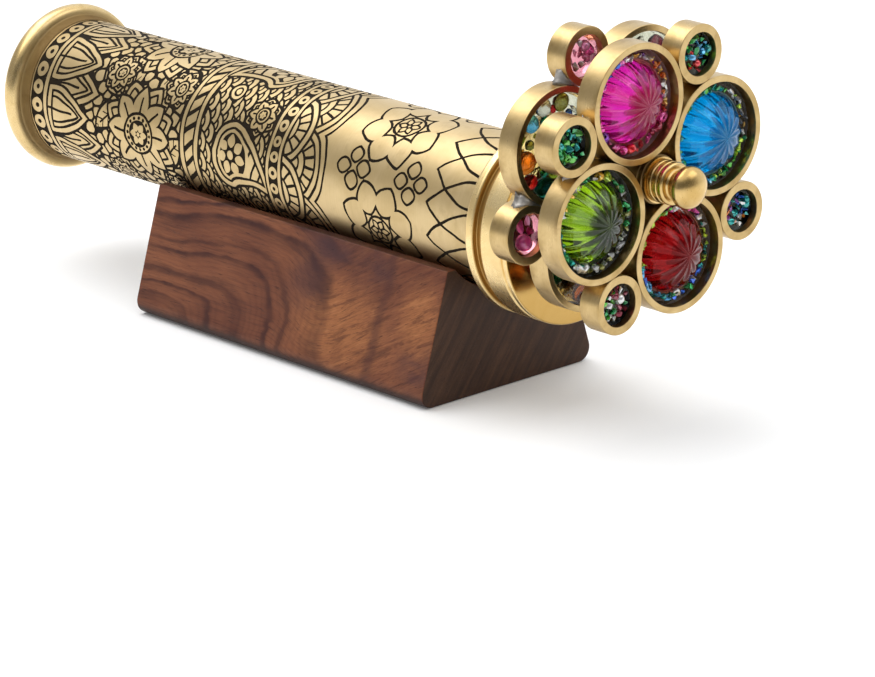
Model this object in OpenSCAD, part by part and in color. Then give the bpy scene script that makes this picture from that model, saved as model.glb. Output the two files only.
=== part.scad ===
// Brass kaleidoscope with two object wheels, lying in a wooden cradle stand.
// +X runs along the tube towards the wheels, +Z is up.
// The origin is the middle of the stand's underside. Millimetres.

/* [Stand] */
// Length of the stand along the tube
stand_len = 110; // [100:1:120]
// Width across the sharp corners of the base, before they are rounded
stand_base_w = 59.7; // [56:0.1:64]
// Width across the flat lands on top
stand_top_w = 39.4; // [37:0.1:43]
// Height of the flat lands on top
stand_h = 33.5; // [31:0.1:36]
// Radius of the rounded bottom edges
stand_edge_r = 3.5; // [2:0.1:5]
// Gap between the bottom of the cradle groove and the tube
cradle_gap = 0.3; // [0.2:0.05:0.6]
// Radius of the cradle groove
cradle_r = 22.6; // [20:0.1:25]

/* [Tube] */
// Outer diameter of the tube
tube_od = 38; // [37:0.1:39]
// Wall thickness of the tube
tube_wall = 1.5; // [1:0.1:2]
// Length of the tube
tube_len = 188; // [180:1:194]
// Height of the tube's axis above the table
tube_axis_h = 45; // [44:0.1:46]
// Distance of the tube's front end ahead of the stand's middle
tube_front = 73; // [70:0.5:76]

/* [Eyepiece] */
// Radius of the rounded lip
lip_r = 22.5; // [21:0.1:24]
// Half the thickness of the lip
lip_round = 2.6; // [1.2:0.05:2.8]
// Distance of the eyepiece's face behind the tube's end
eye_face = 3.2; // [2:0.1:4]
// Radius of the eye hole
eye_hole_r = 6; // [4:0.5:9]
// Length of the sleeve over the tube
eye_sleeve = 5; // [4:0.5:8]

/* [Mirrors] */
// Distance of each mirror's face from the tube's axis
mirror_apothem = 7.9; // [6.5:0.1:8]
// Thickness of a mirror strip
mirror_t = 2; // [1.5:0.1:2.2]

/* [Front cap] */
// Outer radius of the front cap
cap_r = 23.4; // [22.6:0.1:24]
// Length of the front cap
cap_len = 14.7; // [13:0.1:18]
// Thickness of the front plate
cap_plate = 6.4; // [5:0.1:8]
// Depth of the wide groove behind the cap's main band
cap_groove = 1.65; // [0.8:0.05:2]
// Radius of the opening in the front plate
cap_hole_r = 13.4; // [11:0.1:14]

/* [Axle] */
// Distance of the axle above the tube's axis
axle_off = 18.2; // [17.8:0.1:18.6]
// Diameter of the axle
axle_d = 5; // [4.4:0.1:5.2]
// Radial running clearance of the hubs on the axle
hub_clear = 0.05; // [0.02:0.01:0.1]

/* [Wheels] */
// Distance between neighbouring large rings of a wheel, centre to centre
ring_pitch = 29.3; // [29.3:0.05:30]
// Outer diameter of a large ring
ring_od = 29.24; // [28.6:0.02:29.24]
// Wall of a large ring
ring_wall = 1.62; // [1.2:0.02:2]
// Length of the rings along the axle
ring_len = 6.2; // [5.6:0.1:6.6]
// Outer diameter of a small ring
small_od = 14.5; // [13:0.1:15]
// Wall of a small ring
small_wall = 2; // [1.4:0.1:2.4]
// Distance from one wheel to the next
wheel_step = 13.9; // [13.4:0.1:15]
// Angle of the front wheel's pink cell, from the far side upwards
front_phase = 109.4; // [0:0.1:360]
// Angle of the rear wheel against the front wheel
rear_turn = 45; // [0:1:90]

/* [Domes and beads] */
// Radius of a fluted glass dome
dome_r = 9.9; // [9:0.1:10.3]
// Height of a dome above its flat underside
dome_h = 8.4; // [7:0.1:10]
// Number of flutes round a dome
flutes = 18; // [12:1:22]
// Depth of the flutes
flute_depth = 0.5; // [0.3:0.05:1]
// Number of beads round each dome
dome_beads = 20; // [8:1:28]

/* [Finial] */
// Radius of the finial's beads and ball
finial_r = 5.2; // [4.6:0.1:5.4]
// Half the thickness of the flattened ball
ball_half = 2.9; // [2.4:0.1:4]

/* [Hidden] */
$fn = 96;
eps = 0.01;
R = tube_od / 2;
Ri = R - tube_wall;
az = tube_axis_h;
tube_back = tube_front - tube_len;
cap_front = tube_front + cap_plate;
cap_back = cap_front - cap_len;
axle_z = az + axle_off;
washer_t = 0.6;
side_gap = 0.1;
ring_r = ring_od / 2;
ring_ri = ring_r - ring_wall;
small_r = small_od / 2;
small_ri = small_r - small_wall;
ring_c = ring_pitch / sqrt(2);
joint_gap = 0.04;
small_c = ring_pitch / 2 + sqrt(pow(ring_r + small_r + joint_gap, 2) - pow(ring_pitch / 2, 2));
hub_r = ring_c - ring_r - 0.05;
axle_r = axle_d / 2;
// front planes of the two wheels' rings
rear_plane = cap_front + washer_t + wheel_step - 0.1;
front_plane = rear_plane + wheel_step;
rear_hub_x0 = cap_front + washer_t + side_gap;
rear_hub_x1 = rear_plane + 0.2;
mid_washer_x = rear_hub_x1 + side_gap;
front_hub_x0 = mid_washer_x + washer_t + side_gap;
front_hub_x1 = front_plane - 0.5;
front_washer_x = front_hub_x1 + side_gap;
finial_x = front_washer_x + washer_t;
bead_w = 1.75;
neck_x = finial_x + 3 * bead_w;
ball_x = neck_x + 1.35 + ball_half;
axle_end = ball_x - 1;
thread_r = axle_r - 0.5;
// layers inside the tube, from the eye end
lens_t = 2;
retainer_t = 2;
mask_t = 1;
window_t = 2.5;
lens_x = tube_back;
retainer_x = lens_x + lens_t;
mask_x = retainer_x + retainer_t;
mirror_x0 = mask_x + mask_t;
window_x = tube_front - window_t;
mask2_x = window_x - mask_t;
mirror_x1 = mask2_x;
mirror_w = 2 * sqrt(3) * mirror_apothem - 0.1;
// depth layers of a cell, measured back from the ring's front plane
backing_t = 1;
dome_base = ring_len - backing_t;
resin_top = 3.2;
rear_resin_top = 1.8;
bead_r = 1.15;
chip_r = 1.5;

brass = [0.78, 0.65, 0.38];
gold = [0.84, 0.68, 0.34];
walnut = [0.36, 0.18, 0.11];
clear = [0.85, 0.88, 0.85, 0.35];
black = [0.08, 0.08, 0.08];
silver = [0.75, 0.77, 0.8];
grey = [0.55, 0.55, 0.55];

// a turned piece on the tube's axis: the profile is (radius, x)
module turned() {
  translate([0, 0, az]) rotate([0, 90, 0]) rotate_extrude() children();
}
// a turned piece on the axle
module on_axle() {
  translate([0, 0, axle_z]) rotate([0, 90, 0]) rotate_extrude() children();
}
// a band of a profile: radii r0 to r1, from x0 to x1
module band(r0, r1, x0, x1) {
  translate([r0, x0]) square([r1 - r0, x1 - x0]);
}
// places a piece in a wheel: angle a from the far side upwards, distance c
// from the axle, local Z forwards from the plane at x
module cell(x, a, c) {
  translate([x, 0, axle_z]) rotate([0, 90, 0]) rotate([0, 0, a + 90]) translate([c, 0, 0]) children();
}
module ring(x, a, c, ro, ri) {
  cell(x, a, c) translate([0, 0, -ring_len]) rotate_extrude() band(ri, ro, 0, ring_len);
}

// ---- stand ----
module stand_section() {
  lean = atan((stand_base_w - stand_top_w) / 2 / stand_h);
  t = stand_edge_r / tan((90 - lean) / 2);
  b = stand_base_w / 2;
  difference() {
    union() {
      polygon([[-b + t, 0], [b - t, 0], [b - t * sin(lean), t * cos(lean)],
        [stand_top_w / 2, stand_h], [-stand_top_w / 2, stand_h], [-b + t * sin(lean), t * cos(lean)]]);
      for (s = [-1, 1]) translate([s * (b - t), stand_edge_r]) circle(stand_edge_r);
    }
    translate([0, az - R - cradle_gap + cradle_r]) circle(cradle_r);
  }
}
module stand() {
  color(walnut) translate([-stand_len / 2, 0, 0]) rotate([90, 0, 90]) linear_extrude(stand_len) stand_section();
}

// ---- tube and eyepiece ----
module tube() {
  color(brass) turned() band(Ri, R, tube_back, tube_front);
}
module eyepiece_cap() {
  x0 = tube_back - eye_face;
  x1 = tube_back + eye_sleeve;
  color(gold) turned() difference() {
    union() {
      band(eye_hole_r, lip_r - lip_round, x0, x0 + 2 * lip_round);
      translate([lip_r - lip_round, x0 + lip_round]) circle(lip_round);
      polygon([[eye_hole_r, x0 + 1], [lip_r - 1.2, x0 + 1], [lip_r - 1.2, x0 + 3], [R + 1.4, x0 + 5], [R + 0.5, x1], [eye_hole_r, x1]]);
    }
    polygon([[0, tube_back], [R + 0.03, tube_back], [R + 0.03, x1 + 1], [0, x1 + 1]]);
    polygon([[0, x0 - 1], [eye_hole_r + 5.6, x0 - 1], [eye_hole_r + 5, x0], [eye_hole_r, x0 + 1.6], [0, x0 + 1.6]]);
  }
}
module eye_lens() {
  color(clear) turned() band(0, Ri - 0.1, lens_x + 0.02, lens_x + lens_t);
}
module lens_retainer() {
  color(gold) turned() band(Ri - 3.5, Ri - 0.03, retainer_x, retainer_x + retainer_t - 0.02);
}

// ---- mirrors ----
module mirror_mask_rear() {
  color(black) turned() band(7, Ri - 0.05, mask_x, mask_x + mask_t - 0.02);
}
module strip(a) {
  color(silver) translate([mirror_x0 + 0.02, 0, az]) rotate([a, 0, 0])
    translate([0, -mirror_w / 2, -mirror_apothem - mirror_t]) cube([mirror_x1 - mirror_x0 - 0.04, mirror_w, mirror_t]);
}
module mirror_base() { strip(0); }
module mirror_left() { strip(120); }
module mirror_right() { strip(-120); }
module mirror_mask_front() {
  s = mirror_apothem - 0.4;
  color(black) translate([mask2_x, 0, az]) rotate([90, 0, 90]) linear_extrude(mask_t - 0.02) difference() {
    circle(Ri - 0.05);
    polygon([for (k = [0:2]) [2 * s * sin(k * 120), 2 * s * cos(k * 120)]]);
  }
}
module front_window() {
  color(clear) turned() band(0, Ri - 0.1, window_x, tube_front - 0.02);
}

// ---- front cap, axle and finial ----
module front_cap() {
  color(brass) difference() {
    turned() difference() {
      union() {
        band(cap_hole_r, cap_r - cap_groove, cap_back, cap_front);
        // rear bead, wide groove, main band with a narrow groove behind the front edge
        band(R, cap_r - 0.9, cap_back, cap_back + 2.9);
        translate([cap_r - 1.45, cap_back + 1.45]) circle(1.45);
        polygon([[cap_hole_r, cap_back + 5], [cap_r - cap_groove, cap_back + 5], [cap_r, cap_back + 6],
          [cap_r, cap_front - 2.3], [cap_r - 0.55, cap_front - 2.0], [cap_r - 0.55, cap_front - 1.5],
          [cap_r, cap_front - 1.2], [cap_r, cap_front - 0.4], [cap_r - 0.4, cap_front], [cap_hole_r, cap_front]]);
      }
      polygon([[0, cap_back - 1], [R + 0.03, cap_back - 1], [R + 0.03, tube_front], [0, tube_front]]);
    }
    translate([cap_front - 5, 0, axle_z]) rotate([0, 90, 0]) cylinder(r = axle_r + 0.01, h = 6);
  }
}
module axle() {
  color(brass) on_axle() union() {
    band(0, axle_r, cap_front - 5 + 0.02, finial_x);
    band(0, thread_r, finial_x - 1, axle_end);
  }
}
module washer(x, r) {
  color(gold) on_axle() band(axle_r + 0.06, r, x, x + washer_t);
}
module rear_washer() { washer(cap_front, 5); }
module middle_washer() { washer(mid_washer_x, 5.6); }
module front_washer() { washer(front_washer_x, 5.6); }
module finial() {
  n = 20;
  color(gold) on_axle() difference() {
    union() {
      for (k = [0:2]) {
        band(0, finial_r - 0.85, finial_x + k * bead_w, finial_x + (k + 1) * bead_w);
        translate([finial_r - bead_w / 2, finial_x + (k + 0.5) * bead_w]) circle(bead_w / 2);
      }
      band(0, finial_r - 1.7, neck_x - 0.5, ball_x);
      polygon(concat([[0, ball_x - ball_half]],
        [for (i = [0:n]) let (t = -90 + 180 * i / n) [finial_r * cos(t), ball_x + ball_half * sin(t)]],
        [[0, ball_x + ball_half]]));
    }
    band(-1, thread_r + 0.02, finial_x - 1, axle_end + 0.05);
  }
}

// ---- shared wheel pieces ----
module hub(x0, x1) {
  color(brass) on_axle() band(axle_r + hub_clear, hub_r, x0, x1);
}
module large_ring(x, a) { color(brass) ring(x, a, ring_c, ring_r, ring_ri); }
module small_ring(x, a) { color(brass) ring(x, a, small_c, small_r, small_ri); }
// solder in the outer corners between each small ring and its two neighbours
module solder(x, a0) {
  color(grey) for (k = [0:3]) for (s = [-1, 1])
    translate([x - ring_len + 0.6, 0, axle_z]) rotate([0, 90, 0]) rotate([0, 0, a0 + 90 * k + 135])
      linear_extrude(ring_len - 2.4) difference() {
        // from the contact point outwards, between the two circles
        m = [small_c - (small_c - ring_pitch / 2) * small_r / (small_r + ring_r), s * ring_pitch / 2 * small_r / (small_r + ring_r)];
        u = [ring_pitch / 2, (small_c - ring_pitch / 2) * s] / (small_r + ring_r);
        v = [-(small_c - ring_pitch / 2), ring_pitch / 2 * s] / (small_r + ring_r);
        polygon([m - v * 1.2 - u * 0.3, m + v * 1.2 - u * 0.3, m + v * 1.8 + u * 3.6, m - v * 1.4 + u * 3.6]);
        translate([small_c, 0]) circle(small_r - 0.01, $fn = 360);
        translate([ring_pitch / 2, s * ring_pitch / 2]) circle(ring_r - 0.01, $fn = 360);
        translate(m + u * 8.3) circle(5.2, $fn = 180);
      }
}

// ---- front wheel ----
module front_hub() { hub(front_hub_x0, front_hub_x1); }
module front_ring_pink() { large_ring(front_plane, front_phase); }
module front_ring_blue() { large_ring(front_plane, front_phase - 90); }
module front_ring_red() { large_ring(front_plane, front_phase - 180); }
module front_ring_green() { large_ring(front_plane, front_phase - 270); }
// a flattened half-ball of glass with flutes that run from the rim to the top
module dome(a) {
  nb = flutes * 4;
  nr = 8;
  function fl(j) = let (c = cos(360 * j / 4)) flute_depth * (1 - c) / 2;
  function pt(i, j) = let (e = 84 * i / (nr - 1), r = dome_r - fl(j) * (0.35 + 0.65 * cos(e)), w = 360 * j / nb)
    [r * cos(e) * cos(w), r * cos(e) * sin(w), r * sin(e) * dome_h / dome_r];
  pts = concat([for (i = [0:nr - 1]) for (j = [0:nb - 1]) pt(i, j)], [[0, 0, 0], [0, 0, dome_h - 0.08]]);
  faces = concat(
    [for (i = [0:nr - 2]) for (j = [0:nb - 1]) let (k = (j + 1) % nb) [i * nb + j, (i + 1) * nb + j, (i + 1) * nb + k]],
    [for (i = [0:nr - 2]) for (j = [0:nb - 1]) let (k = (j + 1) % nb) [i * nb + j, (i + 1) * nb + k, i * nb + k]],
    [for (j = [0:nb - 1]) [nr * nb, j, (j + 1) % nb]],
    [for (j = [0:nb - 1]) [(nr - 1) * nb + j, nr * nb + 1, (nr - 1) * nb + (j + 1) % nb]]);
  cell(front_plane, a, ring_c) translate([0, 0, -dome_base + 0.02]) polyhedron(pts, faces);
}
module front_dome_pink() { color([0.85, 0.1, 0.5, 0.8]) dome(front_phase); }
module front_dome_blue() { color([0.1, 0.45, 0.85, 0.8]) dome(front_phase - 90); }
module front_dome_red() { color([0.7, 0.05, 0.08, 0.8]) dome(front_phase - 180); }
module front_dome_green() { color([0.4, 0.7, 0.1, 0.8]) dome(front_phase - 270); }
// clear resin: a floor under the dome and a collar round it
module front_resin(a) {
  color(clear) cell(front_plane, a, ring_c) rotate_extrude() difference() {
    band(0, ring_ri - 0.03, -ring_len, -resin_top);
    band(-1, dome_r + 0.05, -dome_base, 0);
  }
}
module front_resin_pink() { front_resin(front_phase); }
module front_resin_blue() { front_resin(front_phase - 90); }
module front_resin_red() { front_resin(front_phase - 180); }
module front_resin_green() { front_resin(front_phase - 270); }
module front_small_ring_top() { small_ring(front_plane, front_phase - 45); }
module front_small_ring_right() { small_ring(front_plane, front_phase - 135); }
module front_small_ring_bottom() { small_ring(front_plane, front_phase - 225); }
module front_small_ring_left() { small_ring(front_plane, front_phase - 315); }
module small_resins(x, a0) {
  color(clear) for (k = [0:3]) cell(x, a0 - 45 - 90 * k, small_c)
    rotate_extrude() band(0, small_ri - 0.03, -ring_len, -2.4);
}
module small_bead_set(x, a0) {
  color([0.1, 0.5, 0.4]) for (k = [0:3]) cell(x, a0 - 45 - 90 * k, small_c)
    translate([0, 0, -2.6]) for (j = [0:4]) rotate([0, 0, 72 * j + 20 * k]) translate([2.9, 0, 0]) sphere(chip_r, $fn = 32);
}
module front_small_resin() { small_resins(front_plane, front_phase); }
module front_beads() {
  color([0.2, 0.6, 0.5]) for (k = [0:3]) cell(front_plane, front_phase - 90 * k, ring_c)
    for (j = [0:dome_beads - 1]) rotate([0, 0, 360 * j / dome_beads])
      translate([(ring_ri + dome_r) / 2 + 0.05, 0, -3.4]) sphere(bead_r, $fn = 32);
}
module front_small_beads() { small_bead_set(front_plane, front_phase); }
module front_solder() { solder(front_plane, front_phase); }

// ---- rear wheel ----
module rear_hub() { hub(rear_hub_x0, rear_hub_x1); }
rear_phase = front_phase + rear_turn;
module rear_ring_left() { large_ring(rear_plane, rear_phase); }
module rear_ring_top() { large_ring(rear_plane, rear_phase - 90); }
module rear_ring_right() { large_ring(rear_plane, rear_phase - 180); }
module rear_ring_bottom() { large_ring(rear_plane, rear_phase - 270); }
module rear_resin(a) {
  color(clear) cell(rear_plane, a, ring_c) rotate_extrude() band(0, ring_ri - 0.03, -ring_len, -rear_resin_top);
}
module rear_resin_left() { rear_resin(rear_phase); }
module rear_resin_top() { rear_resin(rear_phase - 90); }
module rear_resin_right() { rear_resin(rear_phase - 180); }
module rear_resin_bottom() { rear_resin(rear_phase - 270); }
module rear_small_ring_top() { small_ring(rear_plane, rear_phase - 45); }
module rear_small_ring_right() { small_ring(rear_plane, rear_phase - 135); }
module rear_small_ring_bottom() { small_ring(rear_plane, rear_phase - 225); }
module rear_small_ring_left() { small_ring(rear_plane, rear_phase - 315); }
module rear_small_resin() { small_resins(rear_plane, rear_phase); }
module rear_beads() {
  color([0.3, 0.4, 0.7]) for (k = [0:3]) cell(rear_plane, rear_phase - 90 * k, ring_c)
    translate([0, 0, -2.6]) {
      for (j = [0:11]) rotate([0, 0, 30 * j]) translate([10.2, 0, 0]) sphere(chip_r, $fn = 32);
      for (j = [0:5]) rotate([0, 0, 60 * j + 15]) translate([5.6, 0, 0]) sphere(chip_r, $fn = 32);
      sphere(chip_r, $fn = 32);
    }
}
module rear_small_beads() { small_bead_set(rear_plane, rear_phase); }
module rear_solder() { solder(rear_plane, rear_phase); }

stand();
tube();
eyepiece_cap();
eye_lens();
lens_retainer();
mirror_mask_rear();
mirror_left();
mirror_right();
mirror_base();
mirror_mask_front();
front_window();
front_cap();
axle();
rear_washer();
middle_washer();
front_washer();
finial();
front_hub();
front_ring_pink();
front_ring_blue();
front_ring_red();
front_ring_green();
front_dome_pink();
front_dome_blue();
front_dome_red();
front_dome_green();
front_resin_pink();
front_resin_blue();
front_resin_red();
front_resin_green();
front_small_ring_top();
front_small_ring_right();
front_small_ring_bottom();
front_small_ring_left();
front_small_resin();
front_beads();
front_small_beads();
front_solder();
rear_hub();
rear_ring_top();
rear_ring_right();
rear_ring_bottom();
rear_ring_left();
rear_resin_top();
rear_resin_right();
rear_resin_bottom();
rear_resin_left();
rear_small_ring_top();
rear_small_ring_right();
rear_small_ring_bottom();
rear_small_ring_left();
rear_small_resin();
rear_beads();
rear_small_beads();
rear_solder();
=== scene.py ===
import math

import bmesh
import bpy
import numpy as np
from mathutils import Matrix, Vector
from mathutils.geometry import delaunay_2d_cdt


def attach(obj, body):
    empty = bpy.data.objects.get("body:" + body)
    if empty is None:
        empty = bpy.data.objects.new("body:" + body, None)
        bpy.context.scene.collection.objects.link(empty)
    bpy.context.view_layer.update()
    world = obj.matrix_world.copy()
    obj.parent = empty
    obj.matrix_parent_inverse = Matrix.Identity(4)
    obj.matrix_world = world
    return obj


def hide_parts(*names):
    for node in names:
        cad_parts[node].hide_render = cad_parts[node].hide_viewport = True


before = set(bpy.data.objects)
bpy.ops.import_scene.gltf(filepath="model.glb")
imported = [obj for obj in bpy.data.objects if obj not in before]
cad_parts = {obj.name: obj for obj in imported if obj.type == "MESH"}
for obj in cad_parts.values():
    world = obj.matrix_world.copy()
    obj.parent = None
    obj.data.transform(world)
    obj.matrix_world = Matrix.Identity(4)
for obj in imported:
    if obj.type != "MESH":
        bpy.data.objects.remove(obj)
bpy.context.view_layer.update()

MM = 0.001
# ---------------------------------------------------------------- sizes, as in the CAD (mm)
TUBE_Z, TUBE_R, TUBE_RI = 45.0, 19.0, 17.5
TUBE_BACK, TUBE_FRONT = -115.0, 73.0
AXLE_Z = 63.2
REAR, FRONT = 93.8, 107.7
RING_LEN = 6.2
RING_R, RING_RI = 14.62, 13.0
SMALL_R, SMALL_RI = 7.25, 5.25
PITCH_C = 29.3
RING_C = PITCH_C / math.sqrt(2)
SMALL_C = PITCH_C / 2 + math.sqrt((RING_R + SMALL_R + 0.04) ** 2 - (PITCH_C / 2) ** 2)
HUB_R = RING_C - RING_R - 0.05
FRONT_LARGE = {"pink": 109.4, "blue": 19.4, "red": -70.6, "green": -160.6}
FRONT_SMALL = {"top": 64.4, "right": -25.6, "bottom": -115.6, "left": 154.4}
REAR_LARGE = {"left": 154.4, "top": 64.4, "right": -25.6, "bottom": -115.6}
REAR_SMALL = {"top": 109.4, "right": 19.4, "bottom": -70.6, "left": -160.6}


def cell_at(plane, angle, c):
    a = math.radians(angle)
    return (plane, c * math.cos(a), AXLE_Z + c * math.sin(a))


# ---------------------------------------------------------------- camera
AZ, EL, ROLL, DIST = math.radians(47.52), math.radians(18.02), math.radians(-0.78), 1.09186
target = Vector((0.02962, 0.0, 0.00614))
back = Vector((math.sin(AZ) * math.cos(EL), -math.cos(AZ) * math.cos(EL), math.sin(EL)))
right = (-back).cross(Vector((0, 0, 1))).normalized()
up = right.cross(-back)
c, s = math.cos(ROLL), math.sin(ROLL)
right, up = c * right + s * up, -s * right + c * up
camera = bpy.data.cameras.new("camera")
camera.sensor_fit = "HORIZONTAL"
camera.sensor_width = 36.0
camera.lens = 178.97
camera.clip_start, camera.clip_end = 0.05, 50.0
camera_ob = bpy.data.objects.new("camera", camera)
bpy.context.scene.collection.objects.link(camera_ob)
camera_ob.matrix_world = Matrix.Translation(target + back * DIST) @ Matrix((right, up, back)).transposed().to_4x4()
bpy.context.scene.camera = camera_ob


# ---------------------------------------------------------------- material helpers
class Mat:
    def __init__(self, name):
        self.m = bpy.data.materials.new(name)
        self.m.use_nodes = True
        self.t = self.m.node_tree
        self.b = self.t.nodes["Principled BSDF"]

    def put(self, socket, value):
        if hasattr(value, "is_output"):
            self.t.links.new(value, socket)
        elif isinstance(value, (tuple, list)) and len(value) == 3 and socket.type == "RGBA":
            socket.default_value = (*value, 1.0)
        else:
            socket.default_value = value

    def node(self, kind, **props):
        n = self.t.nodes.new("ShaderNode" + kind)
        for k, v in props.items():
            setattr(n, k, v)
        return n

    def coords(self):
        return self.node("TexCoord").outputs["Object"]

    def split(self, v):
        n = self.node("SeparateXYZ")
        self.put(n.inputs[0], v)
        return n.outputs[0], n.outputs[1], n.outputs[2]

    def join(self, x=0.0, y=0.0, z=0.0):
        n = self.node("CombineXYZ")
        for i, v in enumerate((x, y, z)):
            self.put(n.inputs[i], v)
        return n.outputs[0]

    def math(self, op, a, b=0.0, clamp=False):
        n = self.node("Math", operation=op, use_clamp=clamp)
        self.put(n.inputs[0], a)
        self.put(n.inputs[1], b)
        return n.outputs[0]

    def vmath(self, op, a, b=None):
        n = self.node("VectorMath", operation=op)
        self.put(n.inputs[0], a)
        if b is not None:
            self.put(n.inputs[1], b)
        return n.outputs["Value"] if op in ("LENGTH", "DOT_PRODUCT", "DISTANCE") else n.outputs[0]

    def scaled(self, v, by):
        return self.vmath("MULTIPLY", v, by)

    def noise(self, v, scale, detail=3.0, rough=0.5, distortion=0.0):
        n = self.node("TexNoise")
        self.put(n.inputs["Vector"], v)
        n.inputs["Scale"].default_value = scale
        n.inputs["Detail"].default_value = detail
        n.inputs["Roughness"].default_value = rough
        n.inputs["Distortion"].default_value = distortion
        return n.outputs[0]

    def voronoi(self, v, scale, feature="F1"):
        n = self.node("TexVoronoi", feature=feature)
        self.put(n.inputs["Vector"], v)
        n.inputs["Scale"].default_value = scale
        return n.outputs["Distance"]

    def spread(self, v, a, b, lo=0.0, hi=1.0, smooth=True):
        n = self.node("MapRange", interpolation_type="SMOOTHSTEP" if smooth else "LINEAR")
        self.put(n.inputs["Value"], v)
        for k, x in (("From Min", a), ("From Max", b), ("To Min", lo), ("To Max", hi)):
            n.inputs[k].default_value = x
        return n.outputs[0]

    def mix(self, f, a, b, kind="MIX"):
        n = self.node("Mix", data_type="RGBA", blend_type=kind)
        self.put(n.inputs[0], f)
        self.put(n.inputs[6], a)
        self.put(n.inputs[7], b)
        return n.outputs[2]

    def bump(self, height, distance, strength=1.0, normal=None):
        n = self.node("Bump")
        n.inputs["Strength"].default_value = strength
        n.inputs["Distance"].default_value = distance
        self.put(n.inputs["Height"], height)
        if normal is not None:
            self.put(n.inputs["Normal"], normal)
        return n.outputs[0]

    def set(self, **values):
        for k, v in values.items():
            self.put(self.b.inputs[k.replace("_", " ")], v)
        return self


def brass(name, light, deep, rough=0.28, wander=0.10, line=2600.0, lines=0.10, bump=0.000012, tarnish=0.0, brown=(0.20, 0.10, 0.03), cloud=110.0, clouds=1.0, shade_and_polish_bands=(), drawn=0.0):
    """Worked brass: lathe or brush lines round the piece's own axis, soft smears, brown tarnish in patches, and painted
    shade in given bands along the axis.
    """
    m = Mat(name)
    p = m.coords()
    x, y, z = m.split(p)
    r = m.vmath("LENGTH", m.join(0.0, y, z))
    turned = m.noise(m.join(x, r, 0.0), line, 4.0, 0.65)
    smear = m.noise(p, cloud, 4.0, 0.6, 0.6)
    fine = m.noise(p, 1500.0, 2.0)
    colour = m.mix(m.spread(smear, 0.34, 0.68, 0.0, clouds), light, deep)
    colour = m.mix(m.math("MULTIPLY", m.spread(turned, 0.45, 0.75), 0.35), colour, deep)
    if tarnish:
        patch = m.math("MULTIPLY", m.spread(m.noise(p, 230.0, 5.0, 0.62), 0.54, 0.72), tarnish)
        colour = m.mix(patch, colour, brown)
    metal, dull = 1.0, 0.0
    for a0, a1, b0, b1, tone, much, crust in shade_and_polish_bands:      # painted shade in a crease: darker, duller, less metallic brass between a and b along the axis; crust below zero is a polished face with its own tone instead
        near = m.math("MULTIPLY", m.math("MULTIPLY", m.spread(x, a0, a1), m.spread(x, b1, b0)), m.spread(smear, 0.2, 0.7, much, much * 0.8))
        colour = m.mix(near, colour, tone)
        metal = m.math("SUBTRACT", metal, m.math("MULTIPLY", near, crust), True)
        dull = m.math("ADD", dull, m.math("MULTIPLY", near, crust * 0.25))
    rg = m.math("ADD", m.math("MULTIPLY", m.math("SUBTRACT", smear, 0.5), wander * 2), rough)
    rg = m.math("ADD", rg, m.math("MULTIPLY", m.math("SUBTRACT", turned, 0.5), lines))
    rg = m.math("ADD", rg, m.math("MULTIPLY", m.math("SUBTRACT", fine, 0.5), 0.06), True)
    if shade_and_polish_bands:
        rg = m.math("ADD", rg, dull, True)
        m.set(Specular_IOR_Level=0.05)
    m.set(Base_Color=colour, Metallic=metal, Roughness=rg, Normal=m.bump(turned, bump))
    if drawn:                                              # fine lines along the piece spread its highlights round it
        m.set(Anisotropic=drawn, Tangent=m.node("Tangent", direction_type="RADIAL", axis="X").outputs[0])
    return m.m


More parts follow.
